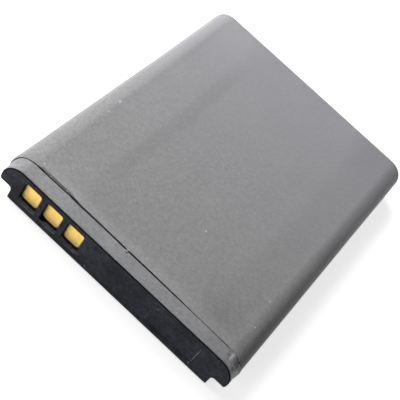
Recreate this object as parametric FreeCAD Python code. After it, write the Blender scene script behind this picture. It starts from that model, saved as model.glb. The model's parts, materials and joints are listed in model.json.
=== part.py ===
import FreeCAD, Part
import math
import os

# Flat rechargeable pack for a handheld device, lying on its broad side
#
# X runs across the width, Y along the length and Z through the thickness. The origin is at the
# middle of the resting face. The contact end looks towards -Y, and a depth is a distance from it.

# Whole pack
pack_width = 34.0
pack_length = 45.0
pack_thickness = 5.2
side_flat = 0.2            # height of the flat that is left between the round halves of a side
shoulder_radius = 0.35     # rounding round the outline of both ends
film_thickness = 0.10      # printed film with its glue
lip_beyond_film = 0.05     # bare lip of the moulding at an end, past the film's own thickness

# Gap between the collar film and the main wrap, laid on a little crooked
seam_depth = 2.19
seam_gap = 0.14
seam_skew_deg = -0.9
wrap_joint_gap = 0.15      # where the two long edges of the wrap meet, underneath
wrap_joint_inset = 6.5     # from the side of the pack to that joint

# Moulded front cap
plate_thickness = 0.58
skirt_wall = 0.45
cavity_corner = 0.4
rib_clearance = 0.1        # between a rib and the pads beside it
rib_count = 8

# Locating notches in the lower corners of the contact end
notch_width = 1.9
notch_height = 1.95
notch_depth = 1.8
notch_corner = 0.45
notch_wall = 0.7           # moulding between a notch and the cavity

# Contact windows, counted from the left end of the cavity
window_count = 3
window_pitch = 3.2
window_bar = 0.72          # moulding between two windows
window_start = 0.52        # of the first window from the end of the cavity
window_sill = 0.39         # above the cavity's floor
window_head = 0.18         # below the cavity's roof
window_corner = 0.35
sill_chip_width = 0.85     # broken corner of the middle window's sill
sill_chip_run = 0.46
sill_chip_drop = 0.35

# Shallow recess on the contact end
recess_side_margin = 4.6   # from the right side of the pack
recess_width = 6.9
recess_foot = 0.86
recess_head = 1.1
recess_depth = 0.08
recess_corner = 0.3

# Circuit board and its contact pads
board_clearance = 0.1
board_thickness = 0.6
board_corner = 0.3
pad_standoff = 0.22        # of a pad behind the plate
pad_thickness = 0.15
pad_side_overlap = 0.06    # of a pad behind each side of its window
pad_end_margin = 0.05      # of a pad inside the height of its window
pad_corner = 0.2
clipped_corner_run = 0.9
clipped_corner_rise = 0.38

# Parts in a row on the rear of the board: length along the board, width, rise
part_gap = 0.5
ic_body = (2.9, 1.6, 1.05)
ic_lead_span = 2.8
ic_lead_pitch = 0.95
resistor_size = (1.0, 0.5, 0.35)
capacitor_size = (1.0, 0.5, 0.5)
chip_spacing = 1.1
chip_end = 0.25
chip_end_step = 0.02
transistor_body = (4.4, 3.0, 1.0)
transistor_lead_span = 6.4
transistor_lead_pitch = 0.65
thermistor_size = (1.6, 0.8, 0.5)
lead_width = 0.3
lead_thickness = 0.15
package_draft = 0.12
wiring_space = 0.65        # between the tallest of these parts and the strips

# Sealed cell in its drawn can
can_bottom_radius = 0.6
lid_weld_chamfer = 0.15
terminal_hole_diameter = 2.0
terminal_hole_depth = 0.5
fill_hole_offset = 3.0     # of its middle from the gasket
fill_hole_diameter = 1.2
fill_hole_depth = 0.5
plug_dome = 0.15

# Terminal on the lid
gasket_size = (4.6, 2.2)
gasket_thickness = 0.3
rivet_head_size = (3.8, 1.7)
rivet_head_thickness = 0.35
rivet_shank_diameter = 1.3
terminal_corner = 0.4      # in outline, of gasket and rivet head

# Insulating card on the lid
card_thickness = 0.15
card_strip_clearance = 0.5
card_end_clearance = 0.6
card_edge_clearance = 0.3
card_hole_clearance = 0.1
card_corner = 0.4
plug_hole_clearance = 0.3

# Thermal fuse and the welded strips
strip_thickness = 0.1
strip_width = 1.8
strip_end_clearance = 0.6  # between a folded strip and the end of the cavity
positive_leg = 2.4
negative_board_leg = 2.2
fuse_gap = 1.7             # between the gasket and the fuse
fuse_length = 4.6
fuse_width = 2.4
fuse_corner = 0.3
fuse_overlap = 3.0         # of each strip along the fuse
rivet_overlap = 3.4        # of the fuse's lead along the rivet head

# Rear end
rear_cap_thickness = 0.8
rear_tape_thickness = 0.1
rear_tape_inset = 1.2
rear_tape_corner = 0.3

# Worked out from the sizes above: outlines
middle_z = pack_thickness / 2
side_radius = (pack_thickness - side_flat) / 2
lip_depth = film_thickness + lip_beyond_film
notch_inner_x = pack_width / 2 - notch_width
cavity_half_width = notch_inner_x - notch_wall
cavity_height = pack_thickness - 2 * (film_thickness + skirt_wall)
board_half_width = cavity_half_width - board_clearance
board_height = cavity_height - 2 * board_clearance
window_width = window_pitch - window_bar
window_height = cavity_height - window_sill - window_head
window_z = middle_z + (window_sill - window_head) / 2
pad_width = window_width + 2 * pad_side_overlap
pad_height = window_height - 2 * pad_end_margin
rib_width = window_bar - 2 * (pad_side_overlap + rib_clearance)
recess_right_x = pack_width / 2 - recess_side_margin

# Depths from the contact end
pad_depth = plate_thickness + pad_standoff
board_front = pad_depth + pad_thickness
board_rear = board_front + board_thickness
strip_front = board_rear + ic_body[2] + wiring_space
head_front = strip_front + strip_thickness
cap_depth = head_front + rivet_head_thickness + gasket_thickness
card_front = cap_depth - card_thickness
cell_end = pack_length - rear_cap_thickness - rear_tape_thickness

# Places in X of what is wired together, the positive side at the left
positive_bend_x = -cavity_half_width + strip_end_clearance + positive_leg
positive_fold_end = positive_bend_x + (cap_depth - board_rear) / 2
ic_x = positive_fold_end + part_gap + ic_body[0] / 2
chip_x = ic_x + ic_body[0] / 2 + part_gap + resistor_size[0] / 2
transistor_x = chip_x + resistor_size[0] / 2 + part_gap + transistor_lead_span / 2
thermistor_x = transistor_x + transistor_lead_span / 2 + part_gap + thermistor_size[0] / 2
fill_hole_x = -gasket_size[0] / 2 - fill_hole_offset
fuse_left_x = gasket_size[0] / 2 + fuse_gap
fuse_right_x = fuse_left_x + fuse_length
negative_bend_x = cavity_half_width - strip_end_clearance - (card_front - board_rear) / 2
BEYOND = 5.0               # how far cutting tools reach past what they cut


def at_depth(depth):
    """Y of a depth measured from the contact end."""
    return depth - pack_length / 2


def box(x0, x1, depth0, depth1, z0, z1):
    """Upright box between two depths."""
    corner = FreeCAD.Vector(x0, at_depth(depth0), z0)
    return Part.makeBox(x1 - x0, depth1 - depth0, z1 - z0, corner)


def rounded_outline(x0, x1, z0, z1, radius, depth):
    """Rounded rectangle in the plane of one depth, as a wire of lines and arcs."""
    y = at_depth(depth)
    edges = []
    corners = ((x1 - radius, z1 - radius, 0), (x0 + radius, z1 - radius, 90),
               (x0 + radius, z0 + radius, 180), (x1 - radius, z0 + radius, 270))
    ends = []
    for cx, cz, start in corners:
        points = []
        for turn in (start, start + 45, start + 90):
            angle = math.radians(turn)
            points.append(FreeCAD.Vector(cx + radius * math.cos(angle), y, cz + radius * math.sin(angle)))
        edges.append(Part.Arc(*points).toShape())
        ends.append((points[0], points[2]))
    for index, (_, last) in enumerate(ends):
        first = ends[(index + 1) % len(ends)][0]
        if last.distanceToPoint(first) > 1e-6:
            edges.append(Part.LineSegment(last, first).toShape())
    return Part.Wire(Part.__sortEdges__(edges))


def rounded_block(x0, x1, depth0, depth1, z0, z1, radius):
    """Block with rounded long edges, extruded along the pack."""
    face = Part.Face(rounded_outline(x0, x1, z0, z1, radius, depth0))
    return face.extrude(FreeCAD.Vector(0, depth1 - depth0, 0))


def centred_block(x, z, size, depth0, depth1, radius):
    """Rounded block of a width and height about a middle point."""
    half_w = size[0] / 2
    half_h = size[1] / 2
    return rounded_block(x - half_w, x + half_w, depth0, depth1, z - half_h, z + half_h, radius)


def rod(x, z, diameter, depth0, depth1):
    """Round bar along the pack."""
    start = FreeCAD.Vector(x, at_depth(depth0), z)
    return Part.makeCylinder(diameter / 2, depth1 - depth0, start, FreeCAD.Vector(0, 1, 0))


def outline_edges(shape, depth):
    """Edges of a shape that lie in the plane of one depth."""
    y = at_depth(depth)
    found = []
    for edge in shape.Edges:
        limits = edge.BoundBox
        if abs(limits.YMin - y) < 1e-4 and abs(limits.YMax - y) < 1e-4:
            found.append(edge)
    return found


def body_form(inset, depth0, depth1, rounded_depth=None):
    """Stretch of the pack's round-sided body, some way inside its surface.

    The outline at rounded_depth gets the shoulder, less the inset.
    """
    half = pack_width / 2 - inset
    form = rounded_block(-half, half, depth0, depth1, inset, pack_thickness - inset, side_radius - inset)
    if rounded_depth is not None:
        form = form.makeFillet(shoulder_radius - inset, outline_edges(form, rounded_depth))
    return form


def seam_tool(offset):
    """Everything in front of the skewed seam line, moved back by an offset."""
    reach = pack_width
    corner = FreeCAD.Vector(-reach, -reach, -BEYOND)
    tool = Part.makeBox(2 * reach, reach, pack_thickness + 2 * BEYOND, corner)
    tool.rotate(FreeCAD.Vector(0, 0, 0), FreeCAD.Vector(0, 0, 1), seam_skew_deg)
    tool.translate(FreeCAD.Vector(0, at_depth(seam_depth + offset), 0))
    return tool


def notch_tool(side):
    """Cutter for the locating notch in one lower corner."""
    outer = pack_width / 2 + BEYOND
    tool = box(notch_inner_x, outer, -BEYOND, notch_depth, -BEYOND, notch_height)
    corner = []
    for edge in tool.Edges:
        limits = edge.BoundBox
        if abs(limits.XMax - notch_inner_x) < 1e-6 and abs(limits.ZMin - notch_height) < 1e-6:
            corner.append(edge)
    tool = tool.makeFillet(notch_corner, corner)
    if side < 0:
        tool = tool.mirror(FreeCAD.Vector(0, 0, 0), FreeCAD.Vector(1, 0, 0))
    return tool


def window_x(index):
    """Middle of a contact window."""
    first_x = -cavity_half_width + window_start + window_width / 2
    return first_x + index * window_pitch


def sill_chip():
    """Broken corner at the back left of the middle window's sill, as a cutter."""
    left = window_x(window_count // 2) - window_width / 2
    sill = window_z - window_height / 2
    back = at_depth(plate_thickness)
    points = [FreeCAD.Vector(left, back - sill_chip_run, sill - sill_chip_drop),
              FreeCAD.Vector(left, back, sill - sill_chip_drop),
              FreeCAD.Vector(left + sill_chip_width, back, sill - sill_chip_drop)]
    outline = Part.makePolygon(points + points[:1])
    return Part.Face(outline).extrude(FreeCAD.Vector(0, 0, sill_chip_drop + window_corner))


def make_front_cap():
    """Moulded cap: windowed plate, skirt, ribs behind the plate, notches and recess."""
    body = body_form(film_thickness, film_thickness, cap_depth, film_thickness)
    lip = body_form(0, 0, cap_depth, 0).common(
        box(-pack_width, pack_width, 0, lip_depth, -BEYOND, pack_thickness + BEYOND))
    cap = body.fuse(lip).removeSplitter()
    half_h = cavity_height / 2
    cavity = rounded_block(-cavity_half_width, cavity_half_width, plate_thickness, cap_depth + BEYOND,
                           middle_z - half_h, middle_z + half_h, cavity_corner)
    for index in range(rib_count):
        rib_x = window_x(index) + window_pitch / 2
        cavity = cavity.cut(box(rib_x - rib_width / 2, rib_x + rib_width / 2, plate_thickness, board_front,
                                -BEYOND, pack_thickness + BEYOND))
    cap = cap.cut(cavity)
    for index in range(window_count):
        cap = cap.cut(centred_block(window_x(index), window_z, (window_width, window_height),
                                    -BEYOND, plate_thickness, window_corner))
    cap = cap.cut(sill_chip())
    for side in (-1, 1):
        cap = cap.cut(notch_tool(side))
    recess = rounded_block(recess_right_x - recess_width, recess_right_x, -BEYOND, recess_depth,
                           recess_foot, pack_thickness - recess_head, recess_corner)
    return cap.cut(recess)


def film_sleeve(depth0, depth1, rounded_depth):
    """Film that lies on the body between two depths and turns over one end's shoulder."""
    outer = body_form(0, depth0, depth1, rounded_depth)
    if rounded_depth == depth0:
        inner = body_form(film_thickness, depth0 + film_thickness, depth1, depth0 + film_thickness)
        trimmed = box(-pack_width, pack_width, depth0 - BEYOND, depth0 + lip_depth,
                      -BEYOND, pack_thickness + BEYOND)
    else:
        inner = body_form(film_thickness, depth0, depth1 - film_thickness, depth1 - film_thickness)
        trimmed = box(-pack_width, pack_width, depth1 - lip_depth, depth1 + BEYOND,
                      -BEYOND, pack_thickness + BEYOND)
    return outer.cut(inner).cut(trimmed)


def make_collar_band():
    """Narrow film round the cap, notched with it, ending at the seam."""
    band = film_sleeve(0, cap_depth, 0)
    behind_seam = box(-pack_width, pack_width, -BEYOND, cap_depth + BEYOND, -BEYOND, pack_thickness + BEYOND)
    band = band.cut(behind_seam.cut(seam_tool(-seam_gap / 2)))
    for side in (-1, 1):
        band = band.cut(notch_tool(side))
    return band


def make_wrap_label():
    """Main film from the seam to the rear end, with its long edges meeting underneath."""
    wrap = film_sleeve(0, pack_length, pack_length)
    wrap = wrap.cut(seam_tool(seam_gap / 2))
    joint_x = pack_width / 2 - wrap_joint_inset
    return wrap.cut(box(joint_x - wrap_joint_gap / 2, joint_x + wrap_joint_gap / 2,
                        -BEYOND, pack_length + BEYOND, -BEYOND, film_thickness + shoulder_radius))


def make_sealed_cell():
    """Drawn can with its welded lid, sealed and solid, with the seats of terminal and plug."""
    half = pack_width / 2 - film_thickness
    cell = rounded_block(-half, half, cap_depth, cell_end, film_thickness, pack_thickness - film_thickness,
                         side_radius - film_thickness)
    cell = cell.makeFillet(can_bottom_radius, outline_edges(cell, cell_end))
    cell = cell.makeChamfer(lid_weld_chamfer, outline_edges(cell, cap_depth))
    cell = cell.cut(rod(0, middle_z, terminal_hole_diameter, cap_depth, cap_depth + terminal_hole_depth))
    return cell.cut(rod(fill_hole_x, middle_z, fill_hole_diameter, cap_depth, cap_depth + fill_hole_depth))


def make_terminal_gasket():
    """Plastic gasket under the rivet head, with a collar down into the lid."""
    flange = centred_block(0, middle_z, gasket_size, cap_depth - gasket_thickness, cap_depth, terminal_corner)
    collar = rod(0, middle_z, terminal_hole_diameter, cap_depth, cap_depth + terminal_hole_depth)
    gasket = flange.fuse(collar).removeSplitter()
    return gasket.cut(rod(0, middle_z, rivet_shank_diameter, 0, pack_length))


def make_terminal_rivet():
    """Negative terminal: flat head and round shank."""
    head_rear = head_front + rivet_head_thickness
    head = centred_block(0, middle_z, rivet_head_size, head_front, head_rear, terminal_corner)
    shank = rod(0, middle_z, rivet_shank_diameter, head_rear, cap_depth + terminal_hole_depth)
    return head.fuse(shank).removeSplitter()


def make_fill_plug():
    """Pressed plug with a low dome, closing the filling hole."""
    plug = rod(fill_hole_x, middle_z, fill_hole_diameter, cap_depth, cap_depth + fill_hole_depth)
    radius = fill_hole_diameter / 2
    ball_radius = (radius ** 2 + plug_dome ** 2) / (2 * plug_dome)
    centre = FreeCAD.Vector(fill_hole_x, at_depth(cap_depth - plug_dome + ball_radius), middle_z)
    cap = Part.makeSphere(ball_radius, centre)
    cap = cap.common(rod(fill_hole_x, middle_z, fill_hole_diameter, cap_depth - BEYOND, cap_depth))
    return plug.fuse(cap)


def make_lid_insulator():
    """Thin card on the lid, cut out round the terminal and the plug."""
    half_h = cavity_height / 2 - card_edge_clearance
    left_x = positive_fold_end + card_strip_clearance
    right_x = cavity_half_width - card_end_clearance
    card = rounded_block(left_x, right_x, card_front, cap_depth,
                         middle_z - half_h, middle_z + half_h, card_corner)
    opening = (gasket_size[0] + 2 * card_hole_clearance, gasket_size[1] + 2 * card_hole_clearance)
    card = card.cut(centred_block(0, middle_z, opening, 0, pack_length, card_corner))
    plug_hole = fill_hole_diameter + 2 * plug_hole_clearance
    return card.cut(rod(fill_hole_x, middle_z, plug_hole, 0, pack_length))


def make_protection_board():
    """Narrow circuit board that stands behind the cap's plate."""
    size = (2 * board_half_width, board_height)
    return centred_block(0, middle_z, size, board_front, board_rear, board_corner)


def make_contact(index):
    """Gold-plated pad behind one window. The middle one has a clipped lower corner."""
    pad = centred_block(window_x(index), window_z, (pad_width, pad_height),
                        pad_depth, board_front, pad_corner)
    if index == window_count // 2:
        left = window_x(index) - pad_width / 2
        foot = window_z - pad_height / 2
        front = at_depth(pad_depth)
        points = [FreeCAD.Vector(left, front, foot), FreeCAD.Vector(left + clipped_corner_run, front, foot),
                  FreeCAD.Vector(left, front, foot + clipped_corner_rise)]
        clip = Part.Face(Part.makePolygon(points + points[:1]))
        pad = pad.cut(clip.extrude(FreeCAD.Vector(0, pad_thickness, 0)))
    return pad


def centred_box(x, z, size):
    """Box of a width, a height and a rise off the rear of the board."""
    half_w = size[0] / 2
    half_h = size[1] / 2
    return box(x - half_w, x + half_w, board_rear, board_rear + size[2], z - half_h, z + half_h)


def tapered_body(x, size):
    """Moulded package on the rear of the board, a little narrower at its top."""
    half_w = size[0] / 2
    half_h = size[1] / 2
    loops = []
    for depth, shrink in ((board_rear, 0.0), (board_rear + size[2], package_draft)):
        y = at_depth(depth)
        w = half_w - shrink
        h = half_h - shrink
        points = [FreeCAD.Vector(x - w, y, middle_z - h), FreeCAD.Vector(x + w, y, middle_z - h),
                  FreeCAD.Vector(x + w, y, middle_z + h), FreeCAD.Vector(x - w, y, middle_z + h)]
        loops.append(Part.makePolygon(points + points[:1]))
    return Part.makeLoft(loops, True, True)


def make_protection_ic():
    """Six-legged protection circuit, legs above and below its body."""
    shape = tapered_body(ic_x, ic_body)
    for column in (-1, 0, 1):
        x = ic_x + column * ic_lead_pitch
        leads = centred_box(x, middle_z, (lead_width, ic_lead_span, lead_thickness))
        shape = shape.fuse(leads)
    return shape.removeSplitter()


def make_switch_transistor():
    """Eight-legged double switching transistor, legs at its left and right."""
    shape = tapered_body(transistor_x, transistor_body)
    for row in (-1.5, -0.5, 0.5, 1.5):
        z = middle_z + row * transistor_lead_pitch
        leads = centred_box(transistor_x, z, (transistor_lead_span, lead_width, lead_thickness))
        shape = shape.fuse(leads)
    return shape.removeSplitter()


def make_chip(x, z, size):
    """Small chip part lying along the board, with a plated end at each side."""
    length, width, height = size
    shape = centred_box(x, z, (length, width - 2 * chip_end_step, height - chip_end_step))
    end_offset = (length - chip_end) / 2
    for side in (-1, 1):
        shape = shape.fuse(centred_box(x + side * end_offset, z, (chip_end, width, height)))
    return shape.removeSplitter()


def folded_strip(bend_x, board_leg, lid_leg, lid_face, width):
    """Welded strip that lies on the board's rear and folds back to a face in front of the lid.

    The fold bulges towards +X at bend_x, and its legs run from there towards -X.
    """
    outer = (lid_face - board_rear) / 2
    inner = outer - strip_thickness
    centre = FreeCAD.Vector(bend_x, at_depth(board_rear + outer), middle_z - width / 2)
    up = FreeCAD.Vector(0, 0, 1)
    ring = Part.makeCylinder(outer, width, centre, up).cut(Part.makeCylinder(inner, width, centre, up))
    low = middle_z - width / 2
    high = middle_z + width / 2
    half_ring = ring.cut(box(bend_x - outer - BEYOND, bend_x, board_rear - BEYOND, lid_face + BEYOND,
                             low - BEYOND, high + BEYOND))
    on_board = box(bend_x - board_leg, bend_x, board_rear, board_rear + strip_thickness, low, high)
    on_lid = box(bend_x - lid_leg, bend_x, lid_face - strip_thickness, lid_face, low, high)
    return half_ring.fuse(on_board).fuse(on_lid).removeSplitter()


def make_tab_positive():
    """Strip from the board to the lid of the can."""
    return folded_strip(positive_bend_x, positive_leg, positive_leg, cap_depth, strip_width)


def make_tab_negative():
    """Strip from the board back under the thermal fuse."""
    lid_leg = negative_bend_x - (fuse_right_x - fuse_overlap)
    return folded_strip(negative_bend_x, negative_board_leg, lid_leg, card_front, strip_width)


def make_thermal_fuse():
    """Flat resettable fuse between its two strips."""
    middle_x = (fuse_left_x + fuse_right_x) / 2
    return centred_block(middle_x, middle_z, (fuse_length, fuse_width), head_front,
                         card_front - strip_thickness, fuse_corner)


def make_fuse_lead():
    """Straight strip from the rivet head to the front of the thermal fuse."""
    start = rivet_head_size[0] / 2 - rivet_overlap
    return box(start, fuse_left_x + fuse_overlap, strip_front, head_front,
               middle_z - strip_width / 2, middle_z + strip_width / 2)


def make_rear_cap():
    """Moulded strip that closes the rear end, flush inside the wrap."""
    start = pack_length - rear_cap_thickness
    flush = pack_length - film_thickness
    body = body_form(film_thickness, start, flush, flush)
    lip = body_form(0, start, pack_length, pack_length).common(
        box(-pack_width, pack_width, pack_length - lip_depth, pack_length,
            -BEYOND, pack_thickness + BEYOND))
    return body.fuse(lip).removeSplitter()


def make_rear_tape():
    """Double-sided tape between the can and the rear strip."""
    half_w = pack_width / 2 - rear_tape_inset
    return rounded_block(-half_w, half_w, cell_end, cell_end + rear_tape_thickness, rear_tape_inset,
                         pack_thickness - rear_tape_inset, rear_tape_corner)


def make_pieces():
    """Every separate piece of the pack, by the name of its node."""
    return {
        "front_cap": make_front_cap(),
        "collar_band": make_collar_band(),
        "wrap_label": make_wrap_label(),
        "sealed_cell": make_sealed_cell(),
        "rear_cap": make_rear_cap(),
        "rear_tape": make_rear_tape(),
        "protection_board": make_protection_board(),
        "contact_positive": make_contact(0),
        "contact_signal": make_contact(1),
        "contact_negative": make_contact(2),
        "protection_ic": make_protection_ic(),
        "switch_transistor": make_switch_transistor(),
        "thermistor": make_chip(thermistor_x, middle_z, thermistor_size),
        "filter_capacitor": make_chip(chip_x, middle_z + chip_spacing, capacitor_size),
        "supply_resistor": make_chip(chip_x, middle_z, resistor_size),
        "sense_resistor": make_chip(chip_x, middle_z - chip_spacing, resistor_size),
        "tab_positive": make_tab_positive(),
        "tab_negative": make_tab_negative(),
        "thermal_fuse": make_thermal_fuse(),
        "fuse_lead": make_fuse_lead(),
        "terminal_rivet": make_terminal_rivet(),
        "terminal_gasket": make_terminal_gasket(),
        "fill_plug": make_fill_plug(),
        "lid_insulator": make_lid_insulator(),
    }


def main():
    """Write each piece to a file of its own."""
    os.makedirs("parts", exist_ok=True)
    for name, shape in make_pieces().items():
        solid = shape.Solids[0] if len(shape.Solids) == 1 else shape
        solid.exportStep(os.path.join("parts", name + ".step"))
        print(name, "solids", len(shape.Solids), "valid", shape.isValid(), "volume", round(shape.Volume, 3))


main()
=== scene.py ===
"""Looks of a flat rechargeable pack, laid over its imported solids.

The pack lies on its broad side. X runs across its width, Y along its length with the contact end
towards -Y, and Z up. Sizes in the classes are in millimetres and a depth is a distance from the
contact end. Meshes are made in metres, in the frame of the solids.
"""

from __future__ import annotations

import json
import logging
import math
from collections.abc import Callable, Iterable, Sequence
from dataclasses import dataclass, field, replace
from enum import Enum
from typing import Any

import bmesh
import bpy
import numpy as np
from mathutils import Matrix, Vector, noise

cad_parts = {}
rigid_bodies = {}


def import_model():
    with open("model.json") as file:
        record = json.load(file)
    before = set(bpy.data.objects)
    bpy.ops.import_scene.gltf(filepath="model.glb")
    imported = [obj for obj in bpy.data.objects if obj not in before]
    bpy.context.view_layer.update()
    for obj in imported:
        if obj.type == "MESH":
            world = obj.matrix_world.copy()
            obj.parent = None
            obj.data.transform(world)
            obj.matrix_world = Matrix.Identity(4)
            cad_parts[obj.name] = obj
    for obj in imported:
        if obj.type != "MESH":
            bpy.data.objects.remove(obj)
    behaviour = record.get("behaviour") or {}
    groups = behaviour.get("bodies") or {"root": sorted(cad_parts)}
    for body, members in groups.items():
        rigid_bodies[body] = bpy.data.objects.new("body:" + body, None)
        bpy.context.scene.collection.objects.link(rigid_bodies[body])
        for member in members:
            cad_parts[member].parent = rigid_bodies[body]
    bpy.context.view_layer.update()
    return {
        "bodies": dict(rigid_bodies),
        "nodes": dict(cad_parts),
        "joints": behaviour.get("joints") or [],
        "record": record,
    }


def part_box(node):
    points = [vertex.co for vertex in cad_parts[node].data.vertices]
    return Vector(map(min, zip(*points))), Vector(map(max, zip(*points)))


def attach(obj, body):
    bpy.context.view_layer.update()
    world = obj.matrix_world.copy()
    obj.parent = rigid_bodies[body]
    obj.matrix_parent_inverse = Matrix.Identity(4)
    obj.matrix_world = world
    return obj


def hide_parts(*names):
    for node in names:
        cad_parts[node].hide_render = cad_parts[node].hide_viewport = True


MM = 0.001
BODY = "root"
LOG = logging.getLogger("pack")

Colour = tuple[float, float, float, float]
Point = tuple[float, float, float]
Pair = tuple[float, float]
Box = tuple[float, float, float, float]
Socket = bpy.types.NodeSocket
Input = Any

WHITE: Colour = (1.0, 1.0, 1.0, 1.0)
# Middle value of a noise
NOISE_MIDDLE = 0.5


class Slot(str, Enum):
    """Material slots of the record."""

    BLACK_MOULDING = "black_moulding"
    WRAP_FILM = "wrap_film"
    COLLAR_FILM = "collar_film"
    CAN_METAL = "can_metal"
    GOLD_PLATING = "gold_plating"
    BOARD_LAMINATE = "board_laminate"
    PACKAGE_MOULDING = "package_moulding"
    CHIP_CERAMIC = "chip_ceramic"
    NICKEL_STRIP = "nickel_strip"
    FUSE_POLYMER = "fuse_polymer"
    GASKET_PLASTIC = "gasket_plastic"
    INSULATING_CARD = "insulating_card"
    ADHESIVE_TAPE = "adhesive_tape"


class Axis(int, Enum):
    """Directions of the frame by their number in a vector."""

    X = 0
    Y = 1
    Z = 2


class Side(int, Enum):
    """Left and right of the contact end."""

    LEFT = -1
    RIGHT = 1


def srgb(red: float, green: float, blue: float) -> Colour:
    """Linear colour of an 8-bit screen colour.

    Args:
        red: Red from 0 to 255.
        green: Green from 0 to 255.
        blue: Blue from 0 to 255.

    Returns:
        The linear colour with full alpha.
    """
    shares = [value / 255.0 for value in (red, green, blue)]
    linear = [s / 12.92 if s <= 0.04045 else ((s + 0.055) / 1.055) ** 2.4 for s in shares]
    return (linear[0], linear[1], linear[2], 1.0)


def eased(value: float, low: float, high: float) -> float:
    """Smooth step from 0 at low to 1 at high."""
    share = min(1.0, max(0.0, (value - low) / (high - low)))
    return share * share * (3.0 - 2.0 * share)


def hump(value: float, middle: float, width: float) -> float:
    """Bell curve with its top of 1 at the middle."""
    return math.exp(-(((value - middle) / width) ** 2))


def placed(name: str, data: bpy.types.ID) -> bpy.types.Object:
    """New object of a mesh, lamp or camera, linked to the scene.

    Args:
        name: Name of the object.
        data: What it shows.

    Returns:
        The object, at the origin.
    """
    made = bpy.data.objects.new(name, data)
    bpy.context.scene.collection.objects.link(made)
    return made


# Shader trees


class Graph:
    """Adds and joins the nodes of one shader tree."""

    def __init__(self, tree: bpy.types.NodeTree) -> None:
        """Keeps the tree of a material, a world or a node group."""
        self.tree = tree

    def feed(self, socket: Socket, value: Input) -> None:
        """Joins an input to an output socket, or gives it a plain value.

        Args:
            socket: Input socket.
            value: An output socket, a number, a colour or a vector.
        """
        if isinstance(value, bpy.types.NodeSocket):
            self.tree.links.new(value, socket)
        else:
            socket.default_value = value

    def node(self, kind: str, inputs: dict[Any, Input] | None = None, **settings: Any) -> bpy.types.Node:
        """Adds a node.

        Args:
            kind: Type of the node without its leading ShaderNode.
            inputs: A value or an output socket for each input, by name or number.
            **settings: Properties of the node.

        Returns:
            The new node.
        """
        made = self.tree.nodes.new("ShaderNode" + kind)
        for name, value in settings.items():
            setattr(made, name, value)
        for key, value in (inputs or {}).items():
            self.feed(made.inputs[key], value)
        return made

    def material(self, surface: Socket) -> None:
        """Joins a shader to the tree's material output."""
        self.node("OutputMaterial", {"Surface": surface})

    def math(self, operation: str, *values: Input) -> Socket:
        """Result of a Math node on one to three values."""
        return self.node("Math", dict(enumerate(values)), operation=operation).outputs[0]

    def times(self, first: Input, second: Input) -> Socket:
        """Product of two values."""
        return self.math("MULTIPLY", first, second)

    def plus(self, first: Input, second: Input) -> Socket:
        """Sum of two values."""
        return self.math("ADD", first, second)

    def minus(self, first: Input, second: Input) -> Socket:
        """First value less the second."""
        return self.math("SUBTRACT", first, second)

    def scaled(self, value: Input, factor: Input, offset: Input) -> Socket:
        """A value times a factor, plus an offset."""
        return self.math("MULTIPLY_ADD", value, factor, offset)

    def vector(self, operation: str, *values: Input) -> Socket:
        """Vector result of a Vector Math node."""
        return self.node("VectorMath", dict(enumerate(values)), operation=operation).outputs[0]

    def mix(self, factor: Input, first: Input, second: Input) -> Socket:
        """Colour between two colours."""
        inputs = {0: factor, 6: first, 7: second}
        return self.node("Mix", inputs, data_type="RGBA").outputs[2]

    def tint(self, colour: Input, target: Input, mask: Input, strength: float) -> Socket:
        """Colour drawn towards a target where a mask shows."""
        return self.mix(self.times(mask, strength), colour, target)

    def shade(self, colour: Input, factor: Input) -> Socket:
        """Colour with each channel multiplied by a value.

        Args:
            colour: A colour or a colour socket.
            factor: The value.

        Returns:
            The shaded colour.
        """
        plain = colour if isinstance(colour, bpy.types.NodeSocket) else tuple(colour)[:3]
        grey = self.node("CombineXYZ", {0: factor, 1: factor, 2: factor}).outputs[0]
        return self.vector("MULTIPLY", plain, grey)

    def remap(self, value: Input, low: Input, high: Input, to_low: Input = 0.0,
              to_high: Input = 1.0) -> Socket:
        """Smoothly remapped value, held at its ends."""
        inputs = {0: value, 1: low, 2: high, 3: to_low, 4: to_high}
        return self.node("MapRange", inputs, interpolation_type="SMOOTHSTEP").outputs[0]

    def within(self, value: Input, start: Input, end: Input, run_in: float, run_out: float) -> Socket:
        """Mask of the values between two limits, faded inside both.

        Args:
            value: The value.
            start: Lower limit, where the mask begins to rise.
            end: Upper limit, where it has fallen to 0.
            run_in: Length of its rise.
            run_out: Length of its fall.

        Returns:
            The mask.
        """
        begun = self.remap(value, start, self.plus(start, run_in))
        ended = self.remap(value, self.minus(end, run_out), end, 1.0, 0.0)
        return self.times(begun, ended)

    def place(self) -> Socket:
        """Place on the object in millimetres."""
        here = self.node("TexCoord").outputs["Object"]
        return self.vector("MULTIPLY", here, (1 / MM, 1 / MM, 1 / MM))

    def along(self, axis: Axis) -> Socket:
        """One coordinate of the place on the object, in millimetres."""
        return self.node("SeparateXYZ", {0: self.place()}).outputs[axis.value]

    def depth(self) -> Socket:
        """Distance from the contact end, in millimetres."""
        return self.plus(self.along(Axis.Y), PackSizes.length / 2)

    def noise(self, size: Input, detail: float = 2.0, stretch: Input = (1.0, 1.0, 1.0)) -> Socket:
        """Soft noise, long in each direction whose stretch is small.

        Args:
            size: Size of its features in millimetres.
            detail: Number of finer layers.
            stretch: Factor of the place in each direction.

        Returns:
            The noise, from 0 to 1.
        """
        where = self.vector("MULTIPLY", self.place(), stretch)
        scale = self.math("DIVIDE", 1.0, size)
        return self.node("TexNoise", {"Vector": where, "Scale": scale, "Detail": detail}).outputs[0]

    def bump(self, height: Socket, rise: float) -> Socket:
        """Normal of a relief that rises so many millimetres where the height is 1."""
        return self.node("Bump", {"Height": height, "Distance": rise * MM, "Strength": 1.0}).outputs[0]


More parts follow.
